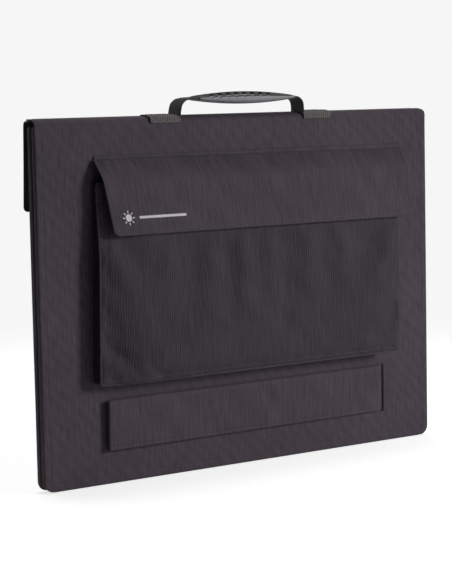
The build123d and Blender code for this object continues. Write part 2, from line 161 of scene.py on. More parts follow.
# nylon webbing, woven thick on a narrow loom: coarse slanting ribs that catch the light
def wovenWebbing(name, webbing):
    material, shader = startMaterial(name, {
        "Roughness": 0.75, "Specular IOR Level": 0.35, "Sheen Weight": 0.15, "Sheen Roughness": 0.4})
    place = addNode(material, "ShaderNodeUVMap", uv_map="weave").outputs[0]
    twill = addNode(material, "ShaderNodeMapping", {"Rotation": (0, 0, math.radians(webbing["slant"]))},
                    {"Vector": place})
    cordWave = addNode(material, "ShaderNodeTexWave", {
        "Scale": waveScale(webbing["cordPitch"]), "Distortion": 0.5, "Detail": 2.0},
        {"Vector": twill.outputs[0]}, bands_direction="X")
    crossWave = addNode(material, "ShaderNodeTexWave", {
        "Scale": waveScale(webbing["crossPitch"]), "Distortion": 0.8, "Detail": 2.0},
        {"Vector": twill.outputs[0]}, bands_direction="Y")
    fuzz = addNode(material, "ShaderNodeTexNoise", {"Scale": 1 / (3 * mm), "Detail": 6.0},
                   {"Vector": place})
    weave = addNode(material, "ShaderNodeMath",
                    links={0: cordWave.outputs["Fac"], 1: crossWave.outputs["Fac"]}, operation="MULTIPLY")
    tone = addNode(material, "ShaderNodeMath", {1: 0.5},
                   {0: fuzz.outputs["Fac"], 2: weave.outputs[0]}, operation="MULTIPLY_ADD")
    ramp = addNode(material, "ShaderNodeValToRGB", links={"Fac": tone.outputs[0]})
    ramp.color_ramp.elements[0].position = 0.15
    ramp.color_ramp.elements[0].color = toLinear(webbing["shade"])
    ramp.color_ramp.elements[1].position = 0.95
    ramp.color_ramp.elements[1].color = toLinear(webbing["thread"])
    bump = addNode(material, "ShaderNodeBump", {"Strength": 0.8, "Distance": 0.5 * mm},
                   {"Height": weave.outputs[0]})
    plug(material, shader, Base_Color=ramp.outputs[0], Normal=bump.outputs[0])
    return material


strapWebbing = wovenWebbing("nylonWebbing", {"shade": "#2a2527", "thread": "#5a5457",
                                             "cordPitch": 2.2, "crossPitch": 2.4, "slant": 35})
patchWebbing = wovenWebbing("nylonWebbingCoarse", {"shade": "#3b3738", "thread": "#7b7575",
                                                   "cordPitch": 3.0, "crossPitch": 2.6, "slant": 20})


# hook and loop tapes: a knitted nylon ground, with hooks in rows or a brushed pile
def gripTape(name, tape):
    material, shader = startMaterial(name, {"Roughness": 0.85, "Specular IOR Level": 0.3,
                                            "Sheen Weight": tape["sheen"], "Sheen Roughness": 0.5})
    place = addNode(material, "ShaderNodeUVMap", uv_map="weave").outputs[0]
    pile = addNode(material, "ShaderNodeTexVoronoi", {
        "Scale": 1 / (tape["pitch"] * mm), "Randomness": tape["mess"]}, {"Vector": place})
    fuzz = addNode(material, "ShaderNodeTexNoise", {"Scale": 1 / (1.5 * mm), "Detail": 5.0},
                   {"Vector": place})
    tone = addNode(material, "ShaderNodeMath", {1: 0.7},
                   {0: fuzz.outputs["Fac"], 2: pile.outputs["Distance"]}, operation="MULTIPLY_ADD")
    ramp = addNode(material, "ShaderNodeValToRGB", links={"Fac": tone.outputs[0]})
    ramp.color_ramp.elements[0].color = toLinear(tape["light"])
    ramp.color_ramp.elements[1].color = toLinear(tape["dark"])
    bump = addNode(material, "ShaderNodeBump", {"Strength": 0.9, "Distance": 0.6 * mm},
                   {"Height": tone.outputs[0]}, invert=True)
    plug(material, shader, Base_Color=ramp.outputs[0], Normal=bump.outputs[0])
    return material


hookTape = gripTape("nylonHookTape", {"pitch": 1.5, "mess": 0.15, "sheen": 0.0,
                                      "light": "#3a383a", "dark": "#131213"})
loopTape = gripTape("nylonLoopTape", {"pitch": 1.1, "mess": 1.0, "sheen": 0.4,
                                      "light": "#3a373a", "dark": "#1a191a"})


# a plain finish with a grain, tone and shine of its own
def grained(name, look):
    values = {"Roughness": look["rough"], "Metallic": look.get("metal", 0.0)}
    values.update(look.get("shader", {}))
    material, shader = startMaterial(name, values)
    place = addNode(material, "ShaderNodeTexCoord").outputs["Object"]
    stretch = addNode(material, "ShaderNodeMapping", {"Scale": look.get("stretch", (1, 1, 1))},
                      {"Vector": place})
    grain = addNode(material, "ShaderNodeTexNoise", {"Scale": 1 / (look["grain"] * mm), "Detail": 5.0},
                    {"Vector": stretch.outputs[0]})
    broad = addNode(material, "ShaderNodeTexNoise", {"Scale": 1 / (look["grain"] * 14 * mm), "Detail": 2.0},
                    {"Vector": place})
    tone = addNode(material, "ShaderNodeMath", {1: 0.6},
                   {0: broad.outputs["Fac"], 2: grain.outputs["Fac"]}, operation="MULTIPLY_ADD")
    ramp = addNode(material, "ShaderNodeValToRGB", links={"Fac": tone.outputs[0]})
    ramp.color_ramp.elements[0].position = 0.5
    ramp.color_ramp.elements[0].color = toLinear(look["dark"])
    ramp.color_ramp.elements[1].position = 1.1
    ramp.color_ramp.elements[1].color = toLinear(look["light"])
    spread = look.get("spread", 0.08)
    rough = addNode(material, "ShaderNodeMapRange", {
        "From Min": 0.3, "From Max": 0.7, "To Min": max(0.02, look["rough"] - spread),
        "To Max": look["rough"] + spread}, {"Value": grain.outputs["Fac"]})
    bump = addNode(material, "ShaderNodeBump", {"Strength": look["bump"], "Distance": 0.2 * mm},
                   {"Height": grain.outputs["Fac"]})
    plug(material, shader, Base_Color=ramp.outputs[0], Roughness=rough.outputs[0], Normal=bump.outputs[0])
    return material


# injection-moulded rubber with a matt spark finish, paler where the hand polishes it
gripRubber = grained("thermoplasticRubberMoulded", {
    "light": "#8a8a8f", "dark": "#77777b", "rough": 0.5, "grain": 0.9, "bump": 0.12})
gripRubberRibbed = grained("thermoplasticRubberTextured", {
    "light": "#4f4d51", "dark": "#3c3a3e", "rough": 0.7, "grain": 1.1, "bump": 0.6})
# painted shade: the slots are coloured near black, standing in for the shade that falls in their recesses
gripRubberSlotShade = grained("thermoplasticRubberRecessPaintedShade", {
    "light": "#1c1b1d", "dark": "#111012", "rough": 0.8, "grain": 1.1, "bump": 0.4})
# twin-wall polypropylene, extruded: straight faint flutes
boardPlastic = grained("polypropyleneTwinWall", {
    "light": "#3c3d40", "dark": "#2b2c2e", "rough": 0.5, "grain": 3.0, "bump": 0.3,
    "stretch": (1, 1, 0.02)})
# white laminating film behind the cells, smooth and slightly glossy
backsheetFilm = grained("polyesterBacksheet", {
    "light": "#e9e9e6", "dark": "#d8d8d4", "rough": 0.35, "grain": 2.0, "bump": 0.05})
tinnedCopper = grained("tinnedCopperRolled", {
    "light": "#d7d7d4", "dark": "#a9a9a8", "rough": 0.32, "metal": 1.0, "grain": 1.0, "bump": 0.15,
    "stretch": (0.1, 1, 1)})
controllerPlastic = grained("absMoulded", {
    "light": "#46484c", "dark": "#393b3f", "rough": 0.45, "grain": 0.7, "bump": 0.35})
boxPlastic = grained("nylonGlassFilledMoulded", {
    "light": "#2b2b2d", "dark": "#1d1d1f", "rough": 0.5, "grain": 0.8, "bump": 0.4})
diodeEpoxy = grained("epoxyMouldedDiode", {
    "light": "#1d1d1e", "dark": "#121213", "rough": 0.35, "grain": 0.8, "bump": 0.2})
circuitLaminate = grained("glassEpoxyLaminate", {
    "light": "#23613a", "dark": "#184a2b", "rough": 0.35, "grain": 1.2, "bump": 0.2})
terminalPlastic = grained("polyamideGreenMoulded", {
    "light": "#3d9a58", "dark": "#2e8147", "rough": 0.45, "grain": 0.7, "bump": 0.25})
zincSteel = grained("zincPlatedSteel", {
    "light": "#c9cbcd", "dark": "#9fa3a6", "rough": 0.3, "metal": 1.0, "grain": 0.6, "bump": 0.25})
buttonSilicone = grained("siliconeMoulded", {
    "light": "#2a2a2c", "dark": "#1f1f21", "rough": 0.6, "grain": 0.6, "bump": 0.2})
# liquid-crystal window: dull grey-green glass under a glossy face
displayGlass = grained("liquidCrystalWindow", {
    "light": "#7e8c78", "dark": "#6f7d6a", "rough": 0.12, "spread": 0.03, "grain": 4.0, "bump": 0.02,
    "shader": {"Coat Weight": 0.8, "Coat Roughness": 0.05}})
# screen ink squeezed through a mesh onto cloth: matt, with the weave just showing
printInk = grained("screenInk", {
    "light": "#dedade", "dark": "#bdb8bd", "rough": 0.7, "grain": 1.3, "bump": 0.5})
# bonded polyester sewing thread, twisted: a soft sheen
sewingThread = grained("polyesterThread", {
    "light": "#5a525a", "dark": "#3a343a", "rough": 0.55, "grain": 0.5, "bump": 0.6,
    "shader": {"Sheen Weight": 0.2}})
batten = grained("glassFibreStrip", {
    "light": "#8f9188", "dark": "#7a7c74", "rough": 0.5, "grain": 1.5, "bump": 0.3,
    "stretch": (0.05, 1, 1)})


# monocrystalline silicon with a blue nitride coat and printed silver fingers
def cellSilicon():
    cell = {"fingerPitch": 2.4, "fingerShare": 0.09}  # drawn at 2.4 mm: real fingers are 1.6 mm apart
    material, shader = startMaterial("siliconNitrideCoated", {
        "Roughness": 0.25, "Specular IOR Level": 0.6, "Coat Weight": 0.3, "Coat Roughness": 0.1})
    place = addNode(material, "ShaderNodeTexCoord").outputs["Object"]
    split = addNode(material, "ShaderNodeSeparateXYZ", links={"Vector": place})
    turn = addNode(material, "ShaderNodeMath", {1: 1 / (cell["fingerPitch"] * mm)},
                   {0: split.outputs["X"]}, operation="MULTIPLY")
    turn = addNode(material, "ShaderNodeMath", links={0: turn.outputs[0]}, operation="FRACT")
    finger = addNode(material, "ShaderNodeMath", {1: cell["fingerShare"]},
                     {0: turn.outputs[0]}, operation="LESS_THAN")
    cloud = addNode(material, "ShaderNodeTexNoise", {"Scale": 1 / (60 * mm), "Detail": 3.0},
                    {"Vector": place})
    ramp = addNode(material, "ShaderNodeValToRGB", links={"Fac": cloud.outputs["Fac"]})
    ramp.color_ramp.elements[0].position = 0.35
    ramp.color_ramp.elements[0].color = toLinear("#141c33")
    ramp.color_ramp.elements[1].position = 0.7
    ramp.color_ramp.elements[1].color = toLinear("#1c2846")
    printed = addNode(material, "ShaderNodeMixRGB", {"Color2": toLinear("#8b93a1")},
                      {"Fac": finger.outputs[0], "Color1": ramp.outputs[0]})
    plug(material, shader, Base_Color=printed.outputs[0])
    return material


siliconCell = cellSilicon()


# fluoropolymer front film: clear, embossed with a fine pebble
def clearFilm():
    material, shader = startMaterial("fluoropolymerFilm", {
        "Base Color": (1, 1, 1, 1), "Roughness": 0.18, "Transmission Weight": 1.0, "IOR": 1.4})
    place = addNode(material, "ShaderNodeTexCoord").outputs["Object"]
    pebble = addNode(material, "ShaderNodeTexVoronoi", {"Scale": 1 / (1.6 * mm)}, {"Vector": place})
    bump = addNode(material, "ShaderNodeBump", {"Strength": 0.15, "Distance": 0.1 * mm},
                   {"Height": pebble.outputs["Distance"]})
    plug(material, shader, Normal=bump.outputs[0])
    return material


frontFilm = clearFilm()
print("materials made")


# mesh building

def makeMesh(name, points, faces, materials, body=None, slot=None, weave=None,
             faceMaterials=None, smooth=True):
    mesh = bpy.data.meshes.new(name)
    mesh.from_pydata((np.asarray(points, float) * mm).tolist(), [], [list(map(int, f)) for f in faces])
    if weave is not None:
        layer = mesh.uv_layers.new(name="weave")
        corners = np.zeros(len(mesh.loops), np.int32)
        mesh.loops.foreach_get("vertex_index", corners)
        layer.data.foreach_set("uv", (np.asarray(weave, float)[corners] * mm).astype(np.float32).ravel())
    for material in (materials if isinstance(materials, list) else [materials]):
        mesh.materials.append(material)
    if faceMaterials is not None:
        mesh.polygons.foreach_set("material_index", np.asarray(faceMaterials, np.int32))
    mesh.polygons.foreach_set("use_smooth", [smooth] * len(mesh.polygons))
    tidy = bmesh.new()
    tidy.from_mesh(mesh)
    bmesh.ops.recalc_face_normals(tidy, faces=tidy.faces)
    tidy.to_mesh(mesh)
    tidy.free()
    mesh.update()
    piece = bpy.data.objects.new(name, mesh)
    scene.collection.objects.link(piece)
    if body:
        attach(piece, body)
    return piece


def smoothStep(low, high, x):
    t = np.clip((x - low) / (high - low), 0, 1)
    return t * t * (3 - 2 * t)


def smoothPath(points, step=0.5, rounds=30):
    points = np.array(points, float)

    def measure(line):
        return np.concatenate([[0], np.cumsum(np.linalg.norm(np.diff(line, axis=0), axis=1))])

    along = measure(points)
    at = np.linspace(0, along[-1], int(along[-1] / step) + 1)
    line = np.stack([np.interp(at, along, points[:, i]) for i in range(points.shape[1])], 1)
    for _ in range(rounds):
        line[1:-1] = (line[:-2] + 2 * line[1:-1] + line[2:]) / 4
    return measure(line), line


def acrossPath(path, place):
    along, line = path
    slope = np.gradient(line, axis=0)
    slope /= np.linalg.norm(slope, axis=1)[:, None]
    flat = [np.interp(place, along, line[:, i]) for i in (0, 1)]
    turn = [np.interp(place, along, slope[:, i]) for i in (0, 1)]
    return flat[0], flat[1], turn[0], turn[1]


def bentAlongYz(path):
    # cloth that runs along X and bends in YZ; v follows the path, and the outside is to its left
    def shape(u, v):
        y, z, dy, dz = acrossPath(path, v)
        return np.stack([u, y, z], -1), np.stack([0 * u, -dz, dy], -1)
    return shape


def bentAlongXz(path, side=1):
    # a strap whose path bends in XZ; u is its place across Y
    def shape(u, v):
        x, z, dx, dz = acrossPath(path, v)
        return np.stack([x, u, z], -1), np.stack([-dz * side, 0 * u, dx * side], -1)
    return shape


def flatFace(y, side):
    def shape(u, v):
        depth = y(u, v) if callable(y) else y + 0 * u
        return np.stack([u, depth, v], -1), np.stack([0 * u, side + 0 * u, 0 * u], -1)
    return shape


def levelFace(height):
    # cloth lying level, with its outside downwards
    def shape(u, v):
        return np.stack([u, v, height + 0 * u], -1), np.stack([0 * u, 0 * u, -1 + 0 * u], -1)
    return shape


wideEdge = (0, 0.12, 0.4, 0.9, 1.8, 3.2, 5.0, 6.6, 7.4, 8.0, 8.6, 9.4, 11.5)
narrowEdge = (0, 0.12, 0.4, 0.9, 1.7, 2.6, 3.6)


def stops(low, high, step, edge=wideEdge):
    edge = np.array(edge)
    count = max(2, int(round((high - low - 2 * edge[-1]) / step)))
    middle = np.linspace(low + edge[-1], high - edge[-1], count + 1)
    return np.concatenate([low + edge[:-1], middle, (high - edge[:-1])[::-1]])


def panelCorners(panel):
    u0, u1, v0, v1 = panel["box"]
    places = ((u0, v0, 1, 1), (u1, v0, -1, 1), (u0, v1, 1, -1), (u1, v1, -1, -1))
    return [(p, r) for p, r in zip(places, panel.get("corners", (0, 0, 0, 0))) if r]


def edgeDistance(u, v, panel):
    u0, u1, v0, v1 = panel["box"]
    distance = np.minimum.reduce([u - u0, u1 - u, v - v0, v1 - v])
    for (cu, cv, su, sv), r in panelCorners(panel):
        a, b = r - su * (u - cu), r - sv * (v - cv)
        distance = np.where((a > 0) & (b > 0), r - np.hypot(a, b), distance)
    return np.maximum(distance, 0)


def roundOff(u, v, panel):
    newU, newV = u.copy(), v.copy()
    for (cu, cv, su, sv), r in panelCorners(panel):
        a, b = 1 - su * (u - cu) / r, 1 - sv * (v - cv) / r
        inside = (a > 0) & (b > 0)
        pull = np.maximum(a, b) / (np.hypot(a, b) + 1e-9)
        newU = np.where(inside, cu + su * r * (1 - a * pull), newU)
        newV = np.where(inside, cv + sv * r * (1 - b * pull), newV)
    return newU, newV


def panelSides(panel, u, v):
    distance = edgeDistance(u, v, panel)
    point, normal = panel["shape"](u, v)
    half = panel["thickness"]
    half = (half(u, v) if callable(half) else half + 0 * u) / 2
    roll = half * np.sqrt(np.clip(1 - (1 - np.minimum(distance / half, 1)) ** 2, 0.03, 1))
    sway = panel["sway"](u, v) if "sway" in panel else 0 * u
    lift = panel["lift"](u, v, distance) if "lift" in panel else 0 * u
    outer = point + normal * (roll + lift + sway)[..., None]
    return outer, point - normal * (roll - sway)[..., None], normal


def panelFaces(nu, nv):
    grid = np.arange(nu * nv).reshape(nu, nv)
    quads = np.stack([grid[:-1, :-1], grid[1:, :-1], grid[1:, 1:], grid[:-1, 1:]], -1).reshape(-1, 4)
    rim = np.concatenate([grid[:-1, 0], grid[-1, :-1], grid[:0:-1, -1], grid[0, :0:-1]])
    after = np.roll(rim, -1)
    side = np.stack([rim, after, after + nu * nv, rim + nu * nv], -1)
    return np.concatenate([quads, quads[:, ::-1] + nu * nv, side])


def makePanel(name, panel, material, body=None, slot="case_fabric", replaced=()):
    u0, u1, v0, v1 = panel["box"]
    edge = panel.get("edge", wideEdge)
    across, upward = stops(u0, u1, panel["step"], edge), stops(v0, v1, panel["step"], edge)
    u, v = np.meshgrid(across, upward, indexing="ij")
    u, v = roundOff(u, v, panel)
    outer, inner, _ = panelSides(panel, u, v)
    points = np.concatenate([outer.reshape(-1, 3), inner.reshape(-1, 3)])
    weave = np.stack([v, u] if panel.get("crosswise") else [u, v], -1).reshape(-1, 2)
    weave = np.tile(weave, (2, 1))
    piece = makeMesh(name, points, panelFaces(*u.shape), material, body, slot, weave)
    if replaced:
        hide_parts(*replaced)
    return piece


def onPanel(panel, u, v):
    outer, _, normal = panelSides(panel, np.array(u, float), np.array(v, float))
    return outer, normal


def outlineInset(panel, inset, closed=True):
    # a line of stitches at one distance inside the edge, from the upper left corner round by the hem
    u0, u1, v0, v1 = panel["box"]
    radii = [max(r - inset, 0.5) for r in panel.get("corners", (0, 0, 0, 0))]
    u0, u1, v0, v1 = u0 + inset, u1 - inset, v0 + inset, v1 - inset
    arcs = (((u0, v0), radii[0], 1, 1, 180), ((u1, v0), radii[1], -1, 1, 270),
            ((u1, v1), radii[3], -1, -1, 0), ((u0, v1), radii[2], 1, -1, 90))
    line = [(u0, v1)] if not closed else []
    for (cu, cv), r, su, sv, start in (arcs if closed else arcs[:2]):
        for k in range(7):
            angle = math.radians(start + 15 * k)
            line.append((cu + su * r + r * math.cos(angle), cv + sv * r + r * math.sin(angle)))
    line.append(line[0] if closed else (u1, v1))
    return line


def stitchRow(panel, line, pitch=3.4):
    line = np.array(line, float)
    along = np.concatenate([[0], np.cumsum(np.linalg.norm(np.diff(line, axis=0), axis=1))])
    count = max(2, int(along[-1] / pitch))
    at = (np.arange(count) + 0.5) * along[-1] / count
    reach = 0.36 * pitch
    ends = [[np.interp(np.clip(at + s * reach, 0, along[-1]), along, line[:, i]) for i in (0, 1)]
            for s in (-1, 1)]
    (start, normal), (end, _) = onPanel(panel, *ends[0]), onPanel(panel, *ends[1])
    return start, end, normal


def makeStitches(name, rows, body, slot="case_fabric", radius=0.34):
    # each stitch is a short arched thread that dives into the cloth at both ends
    profile = ((0.0, 0.35, -0.25), (0.14, 0.9, 0.1), (0.5, 1.0, 0.22), (0.86, 0.9, 0.1),
               (1.0, 0.35, -0.25))  # place along the stitch, share of the radius, height in mm
    sides = 6
    size = sides * len(profile)
    turns = np.linspace(0, 2 * math.pi, sides, endpoint=False)
    points, faces, caps, count = [], [], [], 0
    ring = np.arange(sides)
    after = (ring + 1) % sides
    oneFaces = np.concatenate([np.stack([ring, after, after + sides, ring + sides], -1) + sides * k
                               for k in range(len(profile) - 1)])
    for start, end, normal in rows:
        run = end - start
        run /= np.linalg.norm(run, axis=1)[:, None] + 1e-9
        across = np.cross(run, normal)
        rings = []
        for t, wide, high in profile:
            middle = start + (end - start) * t + normal * high
            for a in turns:
                rings.append(middle + radius * wide * (np.cos(a) * across + np.sin(a) * normal))
        block = np.stack(rings, 1)
        for _ in block:
            faces.append(oneFaces + count)
            caps.append([count + i for i in range(sides)])
            caps.append([count + size - sides + i for i in range(sides)])
            count += size
        points.append(block.reshape(-1, 3))
    allFaces = np.concatenate(faces).tolist() + caps
    return makeMesh(name, np.concatenate(points), allFaces, sewingThread, body, slot)


def loft(name, outer, material, body, slot, inner=None, closed=False, weave=None, **more):
    # rings of points joined in order; with inner rings it is a tube with a bore
    n, m = outer.shape[:2]
    grid = np.arange(n * m).reshape(n, m)
    nextRing = np.roll(grid, -1, 0) if closed else grid[1:]
    here = grid if closed else grid[:-1]
    quads = np.stack([here, np.roll(here, -1, 1), np.roll(nextRing, -1, 1), nextRing], -1).reshape(-1, 4)
    points = outer.reshape(-1, 3)
    if inner is not None:
        points = np.concatenate([points, inner.reshape(-1, 3)])
        ends = [(grid[k], np.roll(grid[k], -1)) for k in (0, -1)]
        caps = [np.stack([a, b, b + n * m, a + n * m], -1) for a, b in ends]
        faces = np.concatenate([quads, quads[:, ::-1] + n * m] + caps).tolist()
    else:
        faces = quads.tolist() + ([] if closed else [grid[0].tolist(), grid[-1].tolist()])
    return makeMesh(name, points, faces, material, body, slot, weave, **more)


# soft unevenness, the same on every run
def ripple(u, v, size, seed):
    total = 0 * u
    for k, (a, b) in enumerate(((1.0, 0.37), (-0.43, 1.1), (0.8, -0.9), (1.9, 0.5))):
        total = total + np.sin((a * u + b * v) / size + seed * 1.7 + k * 2.1) / (1 + 0.6 * k)
    return total / 2.4


def hemLift(distance, width=10.0, depth=0.35, row=8.0):
    # cloth folded double along an edge, pressed flat, with the sewn row pulled in
    fold = depth * smoothStep(0.3, 1.4, distance) * (1 - smoothStep(width, width + 1.2, distance))
    return fold - 0.3 * np.exp(-((distance - row) / 0.8) ** 2)


# leaves: the board and laminate are kept from the frame; the inner border is built here

face = 8.0                       # from the middle of the fold to the case's face
leafSize = {"halfWidth": 270.0, "low": 1.3, "high": 391.0, "corner": 11.0, "topCorner": 3.0,
            "windowLow": 29.0, "windowCorner": 4.0}


def roundedLoop(halfWidth, low, high, radius, topRadius, count=150):
    # points round a rounded rectangle, the same number on each side and corner
    radius, topRadius = max(radius, 0.6), max(topRadius, 0.6)
    loop = []
    arcs = ((-halfWidth + radius, low + radius, radius, 180),
            (halfWidth - radius, low + radius, radius, 270),
            (halfWidth - topRadius, high - topRadius, topRadius, 0),
            (-halfWidth + topRadius, high - topRadius, topRadius, 90))
    for k, (cx, cz, r, start) in enumerate(arcs):
        for i in range(9):
            angle = math.radians(start + i * 90 / 8)
            loop.append((cx + r * math.cos(angle), cz + r * math.sin(angle)))
        nx, nz, nr, nstart = arcs[(k + 1) % 4]
        turn = math.radians(nstart)
        (x0, z0), (x1, z1) = loop[-1], (nx + nr * math.cos(turn), nz + nr * math.sin(turn))
        for i in range(1, count // 4):
            t = i / (count // 4)
            loop.append((x0 + (x1 - x0) * t, z0 + (z1 - z0) * t))
    return np.array(loop)


def makeBorder(sideName, side, body):
    s = leafSize
    # section from the panel's edge round the leaf's side and in to the window: (inset, depth)
    reach = 21.1
    section = ((0.35, 6.9), (0.0, 6.4), (0.0, 3.0), (0.2, 2.1), (0.9, 1.65), (2.0, 1.6), (6.0, 1.6),
               (7.2, 1.62), (8.0, 1.85), (8.8, 1.62), (16.0, 1.6), (20.4, 1.65), (reach, 1.9),
               (reach, 2.35), (20.4, 2.6), (2.0, 2.62), (1.1, 3.2), (1.05, 6.9))
    rings = []
    for inset, depth in section:
        t = inset / reach
        wide = s["halfWidth"] - inset - 0.4 * t
        low = s["low"] + inset + (s["windowLow"] - reach - s["low"]) * t
        high = s["high"] - inset
        radius = (1 - t) * s["corner"] + t * s["windowCorner"]
        top = (1 - t) * s["topCorner"] + t * s["windowCorner"]
        loop = roundedLoop(wide, low, high, radius, top)
        rings.append(np.stack([loop[:, 0], side * depth + 0 * loop[:, 0], loop[:, 1]], 1))
    rings = np.array(rings).transpose(1, 0, 2)
    weave = np.zeros((rings.shape[0], rings.shape[1], 2))
    weave[:, :, 0] = rings[:, :, 0] + rings[:, :, 1] * 0.7
    weave[:, :, 1] = rings[:, :, 2] + rings[:, :, 1] * 0.7
    # the border wears the lifted cloth of painted light
    piece = loft(sideName + "LeafBorder", rings, borderClothPaintedLight, body, "border_fabric", closed=True,
                 weave=weave.reshape(-1, 2))
    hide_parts(sideName + "_cover", sideName + "_inner_frame")
    sewn = {"box": (-269.5, 269.5, 5.0, 390.5), "corners": (11, 11, 3, 3), "thickness": 0.5,
            "shape": flatFace(side * 1.95, -side)}
    rows = [stitchRow(sewn, outlineInset(sewn, inset)) for inset in (7.5, 18.5)]
    makeStitches(sideName + "BorderStitches", rows, body, "border_fabric")


# front panel: one sheet from the lower edge up the face and over the top edge
panelLow = 0.6                   # the panels' lower edges, just clear of the floor
panelHalfWidth = 269.7
panelTop = 390.7
panelMiddle = 7.5                # from the fold's middle to the middle of the panel's cloth
foldHeight = 389
panelPath = smoothPath([(-panelMiddle, panelLow), (-panelMiddle, foldHeight), (-8.1, 392.6), (-5.4, 395.8),
                        (1.5, 397.5), (8.0, 397.9), (12.2, 397.4)], rounds=14)
panelLength = panelPath[0][-1]
foldStart = foldHeight - panelLow


def frontThickness(u, v):
    return 1.0 + 0.5 * smoothStep(foldStart - 6, foldStart + 4, v)


frontPanel = {
    "box": (-panelHalfWidth, panelHalfWidth, 0, panelLength),
    "corners": (11, 11, 4, 4), "thickness": frontThickness, "shape": bentAlongYz(panelPath), "step": 4.0,
    "sway": lambda u, v: 0.16 * (ripple(u, v, 46, 1) + 0.6) * (v < foldStart - 8),
    "lift": lambda u, v, d: hemLift(d) * (1 - smoothStep(foldStart - 14, foldStart - 4, v))}
frontSheet = makePanel("frontPanelCloth", frontPanel, panelCloth, replaced=["closure_top_strip"])
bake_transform(frontSheet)
rowTop = foldStart - 10
makeStitches("frontPanelStitches", [stitchRow(frontPanel, [
    (u, min(v, rowTop)) for u, v in outlineInset(frontPanel, 8.0, closed=False)])], "front_leaf")
stripRow = panelLength - 3.0
makeStitches("closureStripStitches", [stitchRow(frontPanel, [(-262, stripRow), (262, stripRow)])],
             "closure_top")
makeBorder("front", -1, "front_leaf")
makeBorder("back", 1, "back_leaf")

# back panel
backPanel = {
    "box": (-panelHalfWidth, panelHalfWidth, panelLow, panelTop), "corners": (11, 11, 3, 3),
    "thickness": 1.0, "shape": flatFace(panelMiddle, 1), "step": 5.0, "lift": lambda u, v, d: hemLift(d),
    "sway": lambda u, v: 0.14 * (ripple(u, v, 52, 3) + 0.6)}
backSheet = makePanel("backPanelCloth", backPanel, panelCloth, "back_leaf")
makeStitches("backPanelStitches", [stitchRow(backPanel, outlineInset(backPanel, 8.0))], "back_leaf")

# spine: the strip between the leaves that the case stands on
spineSize = {"halfLength": 257.5, "halfWidth": 6.8, "height": 0.5}
spine = {
    "box": (-spineSize["halfLength"], spineSize["halfLength"],
            -spineSize["halfWidth"], spineSize["halfWidth"]),
    "thickness": 0.95, "step": 2.0, "edge": (0, 0.15, 0.5, 1.2, 2.4), "shape": levelFace(spineSize["height"])}
spineSheet = makePanel("spineCloth", spine, panelCloth, replaced=["spine_fabric"])
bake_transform(spineSheet)

# tail of the closing flap, hanging splayed behind
tailSize = {"halfWidth": 269.5, "thickness": 1.5, "tuck": 8.6, "rowInset": 8.5}
# the tuck is the length that is sewn under the top strip
tailPath = smoothPath([(6.6, 395.6), (11.6, 396.0), (14.7, 395.0), (15.7, 392.2), (17.6, 350),
                       (20.5, 300.2)], rounds=6)
tailLength = tailPath[0][-1]
tail = {
    "box": (-tailSize["halfWidth"], tailSize["halfWidth"], 0, tailLength), "corners": (2, 2, 5, 5),
    "thickness": tailSize["thickness"], "shape": bentAlongYz(tailPath), "step": 4.5,
    "lift": lambda u, v, d: 0.25 * hemLift(d, 11.0),
    "sway": lambda u, v: 0.35 * ripple(u, v, 60, 5) * smoothStep(10, 60, v) * (np.abs(u) > 155)}
tailSheet = makePanel("closureTailCloth", tail, panelCloth, replaced=["closure_tail_panel"])
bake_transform(tailSheet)
rowSide = tailSize["halfWidth"] - tailSize["rowInset"]
rowStart, rowEnd = tailSize["tuck"] + 8, tailLength - 9
makeStitches("closureTailStitches", [stitchRow(tail, [
    (-rowSide, rowStart), (-rowSide, rowEnd), (rowSide, rowEnd), (rowSide, rowStart)])], "closure_tail")

# the lining that closes the top strip round its batten
lining = {"box": (-262, 262, -4.6, 10.4), "corners": (2, 2, 2, 2), "thickness": 0.7, "step": 4.0,
          "edge": narrowEdge[:5], "shape": levelFace(391.95)}
# the lining wears the border's lifted cloth of painted light
liningSheet = makePanel("closureLiningCloth", lining, borderClothPaintedLight, "closure_top")
print("panels made")

# pocket: gusset on three sides, front panel with a hemmed mouth, piped seam
pocketSize = {"halfWidth": 206.0, "low": 112.0, "mouth": 330.0, "bend": 250.0, "depth": 22.0,
              "mouthDepth": 13.5, "corner": 4.5, "drawnIn": 6.5, "slant": 5.0}


def pocketFront(z):
    # how far out the front seam lies, leaning back to the case above the bend
    s = pocketSize
    lean = np.clip((z - s["bend"]) / (s["mouth"] - s["bend"]), 0, 1)
    return -(face + s["depth"] + (s["mouthDepth"] - s["depth"]) * lean)


def narrowing(x, z):
    # the left side slants in towards the mouth
    s = pocketSize
    return s["slant"] * smoothStep(-60, -206, x) * np.clip((z - s["low"]) / (s["mouth"] - s["low"]), 0, 1)


def seamFront(x, z):
    # the left side of the pocket is drawn in towards the case, so the panel rounds over to it
    return pocketFront(z) + pocketSize["drawnIn"] * (1 - smoothStep(-206, -148, x))


def pocketOutline(grow, count=10):
    s = pocketSize
    r = s["corner"] + grow
    w, low = s["halfWidth"] + grow, s["low"] - grow
    line = [(-w, s["mouth"])]
    for cx, start in ((-w + r, 180), (w - r, 270)):
        for k in range(count + 1):
            angle = math.radians(start + 90 * k / count)
            line.append((cx + r * math.cos(angle), low + r + r * math.sin(angle)))
    line.append((w, s["mouth"]))
    return smoothPath(line, step=1.0, rounds=2)


gussetPath = pocketOutline(-0.6)
gussetLength = gussetPath[0][-1]


def gussetShape(u, v):
    # u runs round the pocket, v from the case to the front seam
    x, z, dx, dz = acrossPath(gussetPath, u)
    x = x + narrowing(x, z)
    t = v / pocketSize["depth"]
    y = -face + t * (seamFront(x, z) + face)
    return np.stack([x, y, z], -1), np.stack([dz, 0 * u, -dx], -1)


